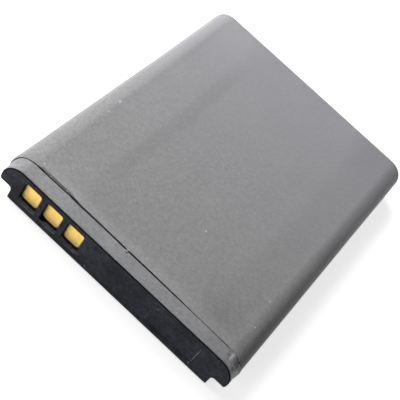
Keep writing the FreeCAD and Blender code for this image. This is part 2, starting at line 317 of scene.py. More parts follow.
class Effect:
    """Shader node group that is built once and placed in several materials."""

    title = ""
    takes: dict[str, float | Point] = {}
    gives = "Mask"

    def draw(self, graph: Graph, given: Any) -> Socket:
        """Draws the group's nodes from its input sockets and gives the socket that it puts out."""
        raise NotImplementedError

    def tree(self) -> bpy.types.NodeTree:
        """The group's tree, built at its first use.

        Returns:
            The tree, with its inputs, its output and its nodes.
        """
        found = bpy.data.node_groups.get(self.title)
        if found is not None:
            return found
        tree = bpy.data.node_groups.new(self.title, "ShaderNodeTree")
        for name, default in self.takes.items():
            kind = "NodeSocketVector" if isinstance(default, tuple) else "NodeSocketFloat"
            made = tree.interface.new_socket(name=name, in_out="INPUT", socket_type=kind)
            made.default_value = default
        tree.interface.new_socket(name=self.gives, in_out="OUTPUT", socket_type="NodeSocketFloat")
        start = tree.nodes.new("NodeGroupInput")
        end = tree.nodes.new("NodeGroupOutput")
        tree.links.new(self.draw(Graph(tree), start.outputs), end.inputs[self.gives])
        return tree

    def place(self, graph: Graph, **values: Input) -> Socket:
        """Places the group and sets its inputs.

        Args:
            graph: Graph of the material.
            **values: Inputs by name, with underscores for spaces.

        Returns:
            The group's output.
        """
        made = graph.tree.nodes.new("ShaderNodeGroup")
        made.node_tree = self.tree()
        for name, value in values.items():
            graph.feed(made.inputs[name.replace("_", " ")], value)
        return made.outputs[0]


class FineGrain(Effect):
    """Even fine grain, as a factor about 1."""

    title = "Fine grain"
    takes = {"Size": 0.15, "Contrast": 0.1}
    gives = "Factor"
    coarser = 3.1
    coarse_share = 0.5

    def draw(self, graph: Graph, given: Any) -> Socket:
        """Two sizes of noise, one inside the other.

        Args:
            graph: Graph of the group's tree.
            given: The group's input sockets, by name.

        Returns:
            The factor.
        """
        fine = graph.noise(given["Size"], 1.0)
        coarse = graph.noise(graph.times(given["Size"], self.coarser), 1.0)
        level = NOISE_MIDDLE * (1.0 + self.coarse_share)
        both = graph.scaled(coarse, self.coarse_share, graph.scaled(fine, 1.0, -level))
        return graph.scaled(both, given["Contrast"], 1.0)


class Mottle(Effect):
    """Broad soft unevenness, as a factor about 1."""

    title = "Mottle"
    takes = {"Size": 8.0, "Contrast": 0.1}
    gives = "Factor"

    def draw(self, graph: Graph, given: Any) -> Socket:
        """Broad noise about its middle value."""
        soft = graph.minus(graph.noise(given["Size"], 3.0), NOISE_MIDDLE)
        return graph.scaled(soft, given["Contrast"], 1.0)


class Specks(Effect):
    """Scattered round specks of uneven size: flakes, dust or pits."""

    title = "Specks"
    takes = {"Cell": 1.0, "Radius": 0.1, "Share": 0.2}
    least = 0.4
    spread = 0.8
    core = 0.4

    def draw(self, graph: Graph, given: Any) -> Socket:
        """One speck near the middle of a share of the cells.

        Args:
            graph: Graph of the group's tree.
            given: The group's input sockets, by name.

        Returns:
            The mask of the specks.
        """
        scale = graph.math("DIVIDE", 1.0, given["Cell"])
        cells = graph.node("TexVoronoi", {"Vector": graph.place(), "Scale": scale})
        chance = graph.node("SeparateColor", {0: cells.outputs["Color"]})
        chosen = graph.math("GREATER_THAN", given["Share"], chance.outputs[0])
        reach = graph.times(given["Radius"], graph.scaled(chance.outputs[1], self.spread, self.least))
        inside = graph.remap(cells.outputs["Distance"], graph.times(reach, self.core), reach, 1.0, 0.0)
        return graph.times(inside, chosen)


class Spot(Effect):
    """One soft spot at a place on the pack."""

    title = "Spot"
    takes = {"Middle": (0.0, 0.0, 0.0), "Radius": 0.2, "Softness": 0.1}
    ragged_size = 0.15

    def draw(self, graph: Graph, given: Any) -> Socket:
        """Distance from the middle, with a ragged edge.

        Args:
            graph: Graph of the group's tree.
            given: The group's input sockets, by name.

        Returns:
            The mask of the spot.
        """
        inputs = {0: graph.place(), 1: given["Middle"]}
        away = graph.node("VectorMath", inputs, operation="DISTANCE").outputs["Value"]
        ragged = graph.scaled(graph.noise(self.ragged_size, 2.0), given["Radius"], away)
        edge = graph.plus(given["Radius"], graph.times(given["Radius"], NOISE_MIDDLE))
        return graph.remap(ragged, graph.minus(edge, given["Softness"]), edge, 1.0, 0.0)


class Stripe(Effect):
    """Soft stripe along the pack between two depths."""

    title = "Stripe"
    takes = {"Middle": 0.0, "Half width": 1.0, "Softness": 0.5, "Start": 0.0, "End": 45.0}
    drift_size = 9.0
    drift = 1.2
    run = 6.0

    def draw(self, graph: Graph, given: Any) -> Socket:
        """Distance across from the middle line, faded at both ends.

        Args:
            graph: Graph of the group's tree.
            given: The group's input sockets, by name.

        Returns:
            The mask of the stripe.
        """
        drift = graph.scaled(graph.noise(self.drift_size, 1.0), self.drift, -self.drift / 2)
        across = graph.plus(graph.along(Axis.X), drift)
        away = graph.math("ABSOLUTE", graph.minus(across, given["Middle"]))
        outer = graph.plus(given["Half width"], given["Softness"])
        inside = graph.remap(away, given["Half width"], outer, 1.0, 0.0)
        return graph.times(inside, graph.within(graph.depth(), given["Start"], given["End"],
                                                self.run, self.run))


class Crease(Effect):
    """Mask across the pack between two X places, from the front up to a depth, for painted shade and
    painted highlights.
    """

    title = "Crease"
    takes = {"Left": -1.0, "Right": 1.0, "Depth": 2.0, "Softness": 0.3}
    ragged_size = 0.25
    ragged = 0.16
    run_in = 0.6
    run_out = 0.4

    def draw(self, graph: Graph, given: Any) -> Socket:
        """Depth with a ragged edge, faded at both ends.

        Args:
            graph: Graph of the group's tree.
            given: The group's input sockets, by name.

        Returns:
            The mask of the crease.
        """
        waver = graph.scaled(graph.noise(self.ragged_size, 2.0), self.ragged, -self.ragged / 2)
        end = graph.plus(given["Depth"], given["Softness"])
        inside = graph.remap(graph.plus(graph.depth(), waver), given["Depth"], end, 1.0, 0.0)
        return graph.times(inside, graph.within(graph.along(Axis.X), given["Left"], given["Right"],
                                                self.run_in, self.run_out))


class DrawnLines(Effect):
    """Fine lines of rolled, drawn or wiped metal, as a factor about 1."""

    title = "Drawn lines"
    takes = {"Size": 0.05, "Contrast": 0.2, "Stretch": (1.0, 0.05, 1.0)}
    gives = "Factor"

    def draw(self, graph: Graph, given: Any) -> Socket:
        """Noise that is long in one direction."""
        lines = graph.noise(given["Size"], 3.0, given["Stretch"])
        return graph.scaled(graph.minus(lines, NOISE_MIDDLE), given["Contrast"], 1.0)


class Rubs(Effect):
    """Rubbed patches of an uneven outline."""

    title = "Rubs"
    takes = {"Size": 0.8, "Share": 0.3}
    bare_level = 0.75
    level_fall = 0.5
    half_edge = 0.07

    def draw(self, graph: Graph, given: Any) -> Socket:
        """Noise above a level that the share sets.

        Args:
            graph: Graph of the group's tree.
            given: The group's input sockets, by name.

        Returns:
            The mask of the patches.
        """
        level = graph.scaled(given["Share"], -self.level_fall, self.bare_level)
        low, high = graph.minus(level, self.half_edge), graph.plus(level, self.half_edge)
        return graph.remap(graph.noise(given["Size"], 3.0), low, high)


GRAIN = FineGrain()
MOTTLE = Mottle()
SPECKS = Specks()
SPOT = Spot()
STRIPE = Stripe()
CREASE = Crease()
LINES = DrawnLines()
RUBS = Rubs()


# Finishes


@dataclass(frozen=True)
class Sprinkle:
    """Specks of one kind in a finish, such as flakes, dust or pits."""

    cell: float
    radius: float
    share: float
    strength: float = 1.0
    colour: Colour = WHITE

    def mask(self, graph: Graph) -> Socket:
        """Where the specks are."""
        return SPECKS.place(graph, Cell=self.cell, Radius=self.radius, Share=self.share)

    def over(self, graph: Graph, colour: Input) -> Socket:
        """A colour with the specks laid over it."""
        return graph.tint(colour, self.colour, self.mask(graph), self.strength)


FLAKE = Sprinkle(cell=0.24, radius=0.5, share=0.35, strength=0.10, colour=srgb(205, 205, 205))
FILM_DUST = Sprinkle(cell=3.2, radius=0.035, share=0.12, strength=0.45, colour=srgb(225, 225, 223))
DUST = Sprinkle(cell=0.9, radius=0.05, share=0.1, strength=0.6, colour=srgb(150, 155, 165))
PIT = Sprinkle(cell=0.6, radius=0.09, share=0.15, strength=0.4)
HOLE = Sprinkle(cell=1.4, radius=0.16, share=0.35, colour=srgb(196, 160, 92))


@dataclass(frozen=True)
class Mark:
    """One pale or dark mark at a place on the pack, for flecks and specks, and for painted highlights
    and painted shade.
    """

    middle: Point
    radius: float
    strength: float

    def over(self, graph: Graph, colour: Input, target: Colour, softness: float) -> Socket:
        """A colour with the mark laid over it, whose soft edge is a share of its radius."""
        mask = SPOT.place(graph, Middle=self.middle, Radius=self.radius, Softness=self.radius * softness)
        return graph.tint(colour, target, mask, abs(self.strength))


@dataclass(frozen=True)
class PaintedBand:
    """Stripe of painted light or painted shade along a film: paler where its gain is above 0, darker
    where it is below.
    """

    middle: float
    half_width: float
    softness: float
    start: float
    end: float
    gain: float

    def over(self, graph: Graph, factor: Input) -> Socket:
        """A shading factor with the band in it.

        Args:
            graph: Graph of the material.
            factor: The factor.

        Returns:
            The new factor.
        """
        mask = STRIPE.place(graph, Middle=self.middle, Half_width=self.half_width,
                            Softness=self.softness, Start=self.start, End=self.end)
        return graph.times(factor, graph.scaled(mask, self.gain, 1.0))


@dataclass(frozen=True)
class PaintedFold:
    """Painted shade across a film along a crease where its gain is below 0, and a painted highlight
    where it is above.
    """

    left: float
    right: float
    depth: float
    softness: float
    gain: float

    def over(self, graph: Graph, factor: Input) -> Socket:
        """A shading factor with the fold in it.

        Args:
            graph: Graph of the material.
            factor: The factor.

        Returns:
            The new factor.
        """
        mask = CREASE.place(graph, Left=self.left, Right=self.right, Depth=self.depth,
                            Softness=self.softness)
        return graph.times(factor, graph.scaled(mask, self.gain, 1.0))


@dataclass(frozen=True)
class Finish:
    """A surface finish that makes one material."""

    name: str

    def dress(self, graph: Graph, surface: bpy.types.Node) -> None:
        """Sets and joins the inputs of the surface, which is the material's Principled node."""
        raise NotImplementedError

    def material(self) -> bpy.types.Material:
        """The finish as a material, made at its first use.

        Returns:
            The material.
        """
        found = bpy.data.materials.get(self.name)
        if found is not None:
            return found
        made = bpy.data.materials.new(self.name)
        made.use_nodes = True
        made.node_tree.nodes.clear()
        graph = Graph(made.node_tree)
        surface = graph.node("BsdfPrincipled")
        self.dress(graph, surface)
        graph.material(surface.outputs[0])
        return made

    @staticmethod
    def join(graph: Graph, surface: bpy.types.Node, **inputs: Input) -> None:
        """Sets inputs of the Principled node by name, with underscores for spaces."""
        for name, value in inputs.items():
            graph.feed(surface.inputs[name.replace("_", " ")], value)


@dataclass(frozen=True)
class FilmFinish(Finish):
    """Satin film printed with fine metal flakes, whose grain shows most near the contact end."""

    colour: Colour
    roughness: float = 0.5
    roughness_spread: float = 0.12
    gloss: float = 0.08
    relief: float = 0.002
    grain: float = 0.24
    grain_depths: Pair = (2.0, 40.0)
    rear_share: float = 0.35
    fine_size: float = 0.14
    fine_gain: float = 2.2
    blotch_size: float = 0.45
    blotch_gain: float = 1.6
    broad_size: float = 5.0
    broad_contrast: float = 0.09
    flake: Sprinkle = FLAKE
    flake_metal: float = 0.25
    dust: Sprinkle = FILM_DUST
    fleck_and_highlight_mark: Colour = srgb(235, 235, 235)
    painted_shade_mark: Colour = srgb(30, 30, 32)
    mark_softness: float = 0.8
    front_shade_tint: Point = (1.0, 1.0, 1.0)
    rear_light_tint: Point = (1.0, 1.0, 1.0)
    light_tint_depths: Pair = (4.0, 44.0)
    painted_bands: tuple[PaintedBand, ...] = ()
    painted_folds: tuple[PaintedFold, ...] = ()
    marks: tuple[Mark, ...] = ()

    def dress(self, graph: Graph, surface: bpy.types.Node) -> None:
        """Grain, stripes and creases of painted light and shade, a painted light tint from front to
        rear, flakes, dust and marks over an uneven base.

        Args:
            graph: Graph of the material.
            surface: Its Principled node.
        """
        depth = graph.depth()
        shown = graph.remap(depth, *self.grain_depths, 1.0, self.rear_share)
        contrast = graph.times(shown, self.grain)
        fine = GRAIN.place(graph, Size=self.fine_size, Contrast=graph.times(contrast, self.fine_gain))
        blotches = MOTTLE.place(graph, Size=self.blotch_size,
                                Contrast=graph.times(contrast, self.blotch_gain))
        broad = MOTTLE.place(graph, Size=self.broad_size, Contrast=self.broad_contrast)
        factor = graph.times(fine, graph.times(blotches, broad))
        # Stripes and creases of painted light and painted shade
        for line in (*self.painted_bands, *self.painted_folds):
            factor = line.over(graph, factor)
        # Painted light: darker at the contact end, paler and bluer towards the rear
        start, end = self.light_tint_depths
        fade = graph.node("MapRange", {0: depth, 1: start, 2: end}).outputs[0]
        tint = graph.mix(fade, (*self.front_shade_tint, 1.0), (*self.rear_light_tint, 1.0))
        colour = graph.shade(graph.vector("MULTIPLY", self.colour[:3], tint), factor)
        flakes = graph.times(self.flake.mask(graph), shown)
        colour = graph.tint(colour, self.flake.colour, flakes, self.flake.strength)
        colour = self.dust.over(graph, colour)
        # Dark marks are painted shade; pale ones are flecks and painted highlights
        for mark in self.marks:
            target = self.fleck_and_highlight_mark if mark.strength > 0 else self.painted_shade_mark
            colour = mark.over(graph, colour, target, self.mark_softness)
        rough = graph.scaled(fine, self.roughness_spread, self.roughness - self.roughness_spread)
        metal = graph.times(flakes, self.flake_metal)
        self.join(graph, surface, Base_Color=colour, Roughness=rough, Metallic=metal,
                  Normal=graph.bump(fine, self.relief), Specular_IOR_Level=self.gloss)


@dataclass(frozen=True)
class MouldedFinish(Finish):
    """Moulded plastic with a fine spark-eroded texture, dust and rubbed patches."""

    colour: Colour
    worn: Colour
    roughness: float = 0.42
    roughness_spread: float = 0.2
    relief: float = 0.004
    gloss: float = 0.15
    mottle: float = 0.9
    fine_size: float = 0.12
    blotch_sizes: Pair = (0.6, 2.6)
    darkest: float = 0.2
    rubbed: float = 0.1
    rub_size: float = 0.7
    rub_strength: float = 0.8
    dust: float = 0.1
    mark_colour: Colour = srgb(190, 194, 200)
    marks: tuple[Mark, ...] = ()

    def dress(self, graph: Graph, surface: bpy.types.Node) -> None:
        """Texture, rubbed patches, dust and marks.

        Args:
            graph: Graph of the material.
            surface: Its Principled node.
        """
        grain = GRAIN.place(graph, Size=self.fine_size, Contrast=self.mottle)
        near, broad = (MOTTLE.place(graph, Size=size, Contrast=self.mottle)
                       for size in self.blotch_sizes)
        factor = graph.times(grain, graph.times(near, broad))
        colour = graph.shade(self.colour, graph.math("MAXIMUM", factor, self.darkest))
        rubs = RUBS.place(graph, Size=self.rub_size, Share=self.rubbed)
        colour = graph.tint(colour, self.worn, rubs, self.rub_strength)
        colour = replace(DUST, share=self.dust).over(graph, colour)
        for mark in self.marks:
            colour = mark.over(graph, colour, self.mark_colour, 1.0)
        rough = graph.scaled(grain, self.roughness_spread, self.roughness - self.roughness_spread)
        self.join(graph, surface, Base_Color=colour, Roughness=rough,
                  Normal=graph.bump(grain, self.relief), Specular_IOR_Level=self.gloss)


@dataclass(frozen=True)
class MetalFinish(Finish):
    """Rolled or drawn metal with fine lines, tarnish and pits."""

    colour: Colour
    dull: Colour
    roughness: float = 0.3
    stretch: Point = (1.0, 0.05, 1.0)
    line_size: float = 0.06
    line_contrast: float = 0.3
    grain_size: float = 0.13
    grain_contrast: float = 0.22
    tarnish_size: float = 1.1
    tarnish_levels: Pair = (0.5, 0.72)
    tarnish_strength: float = 0.45
    tarnish_roughness: float = 0.12
    pits: float = 0.15
    relief: float = 0.003

    def dress(self, graph: Graph, surface: bpy.types.Node) -> None:
        """Lines, tarnish patches and small pits.

        Args:
            graph: Graph of the material.
            surface: Its Principled node.
        """
        lines = LINES.place(graph, Size=self.line_size, Contrast=self.line_contrast,
                            Stretch=self.stretch)
        grain = GRAIN.place(graph, Size=self.grain_size, Contrast=self.grain_contrast)
        colour = graph.shade(self.colour, graph.times(lines, grain))
        tarnish = graph.remap(graph.noise(self.tarnish_size, 3.0), *self.tarnish_levels)
        colour = graph.tint(colour, self.dull, tarnish, self.tarnish_strength)
        pits = replace(PIT, share=self.pits).mask(graph)
        colour = graph.tint(colour, self.dull, pits, PIT.strength)
        rough = graph.scaled(tarnish, self.tarnish_roughness, graph.times(lines, self.roughness))
        normal = graph.bump(graph.minus(lines, pits), self.relief)
        self.join(graph, surface, Base_Color=colour, Roughness=rough, Metallic=1.0, Normal=normal)


@dataclass(frozen=True)
class PlatedFinish(Finish):
    """Gold plating on a row of pads, bare inside a rounded opening of the resist."""

    colour: Colour = (1.0, 0.70, 0.21, 1.0)
    lemon: Colour = (1.0, 0.76, 0.16, 1.0)
    lemon_size: float = 0.75
    lemon_levels: Pair = (0.45, 0.62)
    lemon_strength: float = 0.8
    copper: Colour = (0.98, 0.60, 0.22, 1.0)
    copper_size: float = 1.0
    copper_levels: Pair = (0.50, 0.66)
    copper_strength: float = 0.6
    orange_shade_z: float = 2.3
    pale: Colour = (1.0, 0.80, 0.42, 1.0)
    highlight_start: Pair = (0.06, 0.16)
    highlight_end: Pair = (0.40, 0.18)
    highlight_strength: float = 0.45
    pit_and_edge_shade: Colour = (0.42, 0.19, 0.04, 1.0)
    edge_shade_width: float = 0.16
    edge_shade_strength: float = 0.75
    resist: Colour = srgb(14, 18, 16)
    resist_roughness: float = 0.7
    first_x: float = -12.64
    pitch: float = 3.2
    left: float = -1.30
    right: float = 1.02
    low_z: float = 1.11
    corner: float = 0.48
    border: float = 0.02
    pits: float = 0.2
    metal_share: float = 0.75
    roughness: float = 0.50
    relief: float = 0.003

    def inside(self, graph: Graph) -> Socket:
        """Distance in from the opening's border, up to its corner radius.

        Args:
            graph: Graph of the material.

        Returns:
            The distance in millimetres, below 0 outside.
        """
        start = graph.minus(graph.along(Axis.X), self.first_x + (self.left + self.right) / 2)
        across = graph.math("ABSOLUTE", graph.math("WRAP", start, self.pitch / 2, -self.pitch / 2))
        core = (self.right - self.left) / 2 - self.corner
        past_side = graph.math("MAXIMUM", graph.minus(across, core), 0.0)
        below = graph.minus(self.low_z + self.corner, graph.along(Axis.Z))
        past_foot = graph.math("MAXIMUM", below, 0.0)
        square = graph.scaled(past_side, past_side, graph.times(past_foot, past_foot))
        return graph.minus(self.corner, graph.math("SQRT", square))

    def dress(self, graph: Graph, surface: bpy.types.Node) -> None:
        """Wiped patches of two tones, a painted orange shade towards the bottom, a painted highlight
        band inside the border and a painted brown shade along it.

        Args:
            graph: Graph of the material.
            surface: Its Principled node.
        """
        inside = self.inside(graph)
        lines = LINES.place(graph, Size=0.07, Contrast=0.22, Stretch=(1.0, 1.0, 0.12))
        grain = GRAIN.place(graph, Size=0.13, Contrast=0.22)
        lemon = graph.remap(graph.noise(self.lemon_size, 2.0, (1.0, 1.0, 0.6)), *self.lemon_levels)
        copper = graph.remap(graph.noise(self.copper_size, 2.0, (1.0, 1.0, 0.7)), *self.copper_levels)
        # Painted shade: the pads turn to the orange tone towards their bottom, below their lit upper
        # part
        low = graph.remap(graph.along(Axis.Z), self.orange_shade_z, self.low_z)
        copper = graph.math("MAXIMUM", copper, low)
        colour = graph.tint(self.colour, self.lemon, lemon, self.lemon_strength)
        colour = graph.tint(colour, self.copper, copper, self.copper_strength)
        colour = graph.shade(colour, graph.times(lines, grain))
        # Painted highlight: a pale band just inside the opening's border
        band = graph.times(graph.remap(inside, *self.highlight_start), graph.remap(inside, *self.highlight_end))
        colour = graph.tint(colour, self.pale, band, self.highlight_strength)
        # Painted shade: brown darkening along the opening's border; the same brown darkens the pits
        edge = graph.remap(inside, self.edge_shade_width, 0.0)
        colour = graph.tint(colour, self.pit_and_edge_shade, edge, self.edge_shade_strength)
        pits = replace(PIT, share=self.pits).mask(graph)
        colour = graph.tint(colour, self.pit_and_edge_shade, pits, PIT.strength)
        bare = graph.remap(inside, -self.border, self.border)
        colour = graph.mix(bare, self.resist, colour)
        rough = graph.scaled(bare, self.roughness - self.resist_roughness, self.resist_roughness)
        normal = graph.bump(graph.minus(lines, pits), self.relief)
        self.join(graph, surface, Base_Color=colour, Roughness=graph.times(rough, lines),
                  Metallic=graph.times(bare, self.metal_share), Normal=normal)


@dataclass(frozen=True)
class BoardFinish(Finish):
    """Solder mask over copper tracks, with plated holes."""

    mask_colour: Colour = srgb(10, 38, 26)
    track_colour: Colour = srgb(22, 66, 44)
    hole: Sprinkle = HOLE
    shift_size: float = 2.5
    shift_step: float = 0.14
    shift: float = 2.4
    tracks_per_mm: float = 1.8
    track_edge: Pair = (0.26, 0.30)
    roughness: float = 0.28
    hole_roughness: float = 0.15
    relief: float = 0.02

    def dress(self, graph: Graph, surface: bpy.types.Node) -> None:
        """Tracks along the board that change rows, and holes between them.

        Args:
            graph: Graph of the material.
            surface: Its Principled node.
        """
        steps = graph.math("SNAP", graph.noise(self.shift_size, 0.0, (1.0, 0.0, 0.0)), self.shift_step)
        rows = graph.plus(graph.along(Axis.Z), graph.times(steps, self.shift))
        wave = graph.math("PINGPONG", graph.times(rows, self.tracks_per_mm), 0.5)
        tracks = graph.remap(wave, *self.track_edge)
        holes = self.hole.mask(graph)
        colour = graph.mix(tracks, self.mask_colour, self.track_colour)
        colour = graph.shade(colour, GRAIN.place(graph, Size=0.12, Contrast=0.25))
        colour = graph.mix(holes, colour, self.hole.colour)
        rough = graph.scaled(holes, self.hole_roughness, self.roughness)
        self.join(graph, surface, Base_Color=colour, Roughness=rough, Metallic=holes,
                  Normal=graph.bump(graph.minus(tracks, holes), self.relief))


@dataclass(frozen=True)
class EndedFinish(Finish):
    """Component body with tinned ends or legs beyond it."""

    body: Colour
    middle: float
    half_body: float
    axis: Axis
    tin: Colour = srgb(196, 196, 190)
    border: float = 0.01
    body_roughness: float = 0.55
    tin_roughness: float = 0.35
    pit_depth: float = 0.3
    relief: float = 0.004

    def dress(self, graph: Graph, surface: bpy.types.Node) -> None:
        """Body up to its half length, tin beyond it.

        Args:
            graph: Graph of the material.
            surface: Its Principled node.
        """
        away = graph.math("ABSOLUTE", graph.minus(graph.along(self.axis), self.middle))
        ends = graph.remap(away, self.half_body - self.border, self.half_body + self.border)
        grain = GRAIN.place(graph, Size=0.08, Contrast=0.35)
        colour = graph.mix(ends, graph.shade(self.body, grain), graph.shade(self.tin, grain))
        pits = SPECKS.place(graph, Cell=0.3, Radius=0.2, Share=0.3)
        colour = graph.shade(colour, graph.scaled(pits, -self.pit_depth, 1.0))
        rough = graph.scaled(ends, self.tin_roughness - self.body_roughness, self.body_roughness)
        self.join(graph, surface, Base_Color=colour, Roughness=rough, Metallic=ends,
                  Normal=graph.bump(graph.minus(grain, pits), self.relief))


@dataclass(frozen=True)
class FibreFinish(Finish):
    """Card, tape or coated polymer with short fibres in two directions."""

    colour: Colour
    pale: Colour
    roughness: float = 0.7
    roughness_spread: float = 0.08
    fibre_size: float = 0.09
    fibre_contrast: float = 0.5
    fibre_levels: Pair = (1.05, 1.25)
    fibre_strength: float = 0.5
    relief: float = 0.006

    def dress(self, graph: Graph, surface: bpy.types.Node) -> None:
        """Crossed fibres over an uneven base.

        Args:
            graph: Graph of the material.
            surface: Its Principled node.
        """
        across, upright = (
            LINES.place(graph, Size=self.fibre_size, Contrast=self.fibre_contrast, Stretch=stretch)
            for stretch in ((0.12, 1.0, 1.0), (1.0, 1.0, 0.12)))
        weave = graph.times(across, upright)
        broad = MOTTLE.place(graph, Size=2.0, Contrast=0.2)
        colour = graph.shade(self.colour, graph.times(weave, broad))
        fibres = graph.remap(weave, *self.fibre_levels)
        colour = graph.tint(colour, self.pale, fibres, self.fibre_strength)
        rough = graph.scaled(weave, self.roughness_spread, self.roughness - self.roughness_spread)
        self.join(graph, surface, Base_Color=colour, Roughness=rough,
                  Normal=graph.bump(weave, self.relief))


# Meshes


@dataclass(frozen=True)
class PackSizes:
    """Sizes that several sub-assemblies share."""

    width: float = 34.0
    length: float = 45.0
    thickness: float = 5.2
    side_radius: float = 2.5
    shoulder: float = 0.35
    film: float = 0.10
    lip: float = 0.15

    @property
    def middle_z(self) -> float:
        """Height of the middle of the pack."""
        return self.thickness / 2

    @property
    def core(self) -> float:
        """Half the width between the rounded sides."""
        return self.width / 2 - self.side_radius


PACK = PackSizes()


def point(x: float, depth: float, z: float) -> Vector:
    """Point in metres from X, depth and Z in millimetres."""
    return Vector((x * MM, (depth - PACK.length / 2) * MM, z * MM))


def rounded_ring(x0: float, x1: float, z0: float, z1: float, radius: float, depth: float,
                 steps: int = 8) -> list[Vector]:
    """Rounded rectangle at one depth.

    Args:
        x0: Left side.
        x1: Right side.
        z0: Underside.
        z1: Top.
        radius: Corner radius.
        depth: Depth of its plane.
        steps: Parts of each corner.

    Returns:
        The corner points in order.
    """
    corners = ((x1 - radius, z1 - radius, 0), (x0 + radius, z1 - radius, 90),
               (x0 + radius, z0 + radius, 180), (x1 - radius, z0 + radius, 270))
    ring = []
    for cx, cz, start in corners:
        for step in range(steps + 1):
            turn = math.radians(start + 90 * step / steps)
            ring.append(point(cx + radius * math.cos(turn), depth, cz + radius * math.sin(turn)))
    return ring


def loft(name: str, rings: Sequence[Sequence[Vector]]) -> bpy.types.Object:
    """Closed solid through rings of equal length.

    Args:
        name: Name of the object.
        rings: Rings from one end to the other.

    Returns:
        The object, linked to the scene.
    """
    work = bmesh.new()
    loops = [[work.verts.new(corner) for corner in ring] for ring in rings]
    count = len(loops[0])
    for first, second in zip(loops, loops[1:]):
        for index in range(count):
            after = (index + 1) % count
            work.faces.new((first[index], first[after], second[after], second[index]))
    work.faces.new(loops[0])
    work.faces.new(loops[-1])
    bmesh.ops.recalc_face_normals(work, faces=work.faces)
    mesh = bpy.data.meshes.new(name)
    work.to_mesh(mesh)
    work.free()
    return placed(name, mesh)


def combine(body: bpy.types.Object, tools: Iterable[bpy.types.Object], operation: str) -> None:
    """Cuts tools out of a body or joins them to it, and removes the tools.

    Args:
        body: Object that is changed.
        tools: Objects that are used up.
        operation: DIFFERENCE or UNION.
    """
    for tool in tools:
        step = body.modifiers.new("step", "BOOLEAN")
        step.operation = operation
        step.solver = "EXACT"
        step.object = tool
        graph = bpy.context.evaluated_depsgraph_get()
        mesh = bpy.data.meshes.new_from_object(body.evaluated_get(graph))
        body.modifiers.clear()
        body.data = mesh
        bpy.data.objects.remove(tool)


def soften(piece: bpy.types.Object, angle: float = 32.0) -> None:
    """Smooth shading with sharp edges kept, and normals weighted by face area.

    Args:
        piece: Piece with a mesh.
        angle: Angle in degrees above which an edge stays sharp.
    """
    mesh = piece.data
    mesh.polygons.foreach_set("use_smooth", [True] * len(mesh.polygons))
    mesh.set_sharp_from_angle(angle=math.radians(angle))
    weighted = piece.modifiers.new("weighted", "WEIGHTED_NORMAL")
    weighted.keep_sharp = True


def finish_piece(piece: bpy.types.Object, finish: Finish, slot: Slot, stands_for: Sequence[str] = (),
                 others: Sequence[Finish] = ()) -> None:
    """Gives a piece its materials and body.

    Args:
        piece: New piece or CAD node.
        finish: Its main finish.
        slot: The record's slot that the finishes belong to; not used.
        stands_for: CAD nodes that it replaces.
        others: Finishes of the faces with a material number above 0.
    """
    mesh = piece.data
    numbers = [face.material_index for face in mesh.polygons]
    mesh.materials.clear()
    for each in (finish, *others):
        mesh.materials.append(each.material())
    if others:
        mesh.polygons.foreach_set("material_index", numbers)
    if stands_for:
        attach(piece, BODY)
        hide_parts(*stands_for)
    LOG.info("%s: %d faces, %s", piece.name, len(piece.data.polygons), finish.name)


# Films round the pack


@dataclass(frozen=True)
class Station:
    """One place on the way round the pack's section: an arc centre and the direction out of it."""

    x: float
    z: float
    out_x: float
    out_z: float

    def at(self, inset: float) -> Pair:
        """X and Z of the place, some way inside the outline."""
        reach = PACK.side_radius - inset
        return self.x + self.out_x * reach, self.z + self.out_z * reach

    @property
    def angle(self) -> float:
        """Direction out of the arc centre in degrees, from -180 to 180 and 0 at the right side."""
        return math.degrees(math.atan2(self.out_z, self.out_x))


def walk_round(start: float, end: float, across: Sequence[float], turns: Sequence[float],
               corner_steps: int = 16) -> list[Station]:
    """Places round the section, from a start underneath, by the right side, to an end underneath.

    Args:
        start: X where the walk starts, underneath.
        end: X where it ends, underneath.
        across: X places over the top, from right to left.
        turns: Angles of a lower corner, from underneath to the side, in degrees.
        corner_steps: Parts of the upper right corner.

    Returns:
        The places in order.
    """
    inner = PACK.core
    low, high = PACK.side_radius, PACK.thickness - PACK.side_radius
    first_places, left_angles, last_places = 8, 17, 30
    walk = [Station(x, low, 0.0, -1.0) for x in np.linspace(start, inner, first_places)[:-1]]

    def corner(x: float, z: float, angles: Iterable[float]) -> None:
        """Adds the places round one corner."""
        for turn in map(math.radians, angles):
            walk.append(Station(x, z, math.cos(turn), math.sin(turn)))

    corner(inner, low, [turn - 90 for turn in turns])
    corner(inner, high, np.linspace(0, 90, corner_steps + 1))
    walk.extend(Station(x, high, 0.0, 1.0) for x in across)
    corner(-inner, high, np.linspace(90, 180, left_angles))
    corner(-inner, low, [270 - turn for turn in reversed(turns)])
    walk.extend(Station(x, low, 0.0, -1.0) for x in np.linspace(-inner, end, last_places)[1:])
    return walk


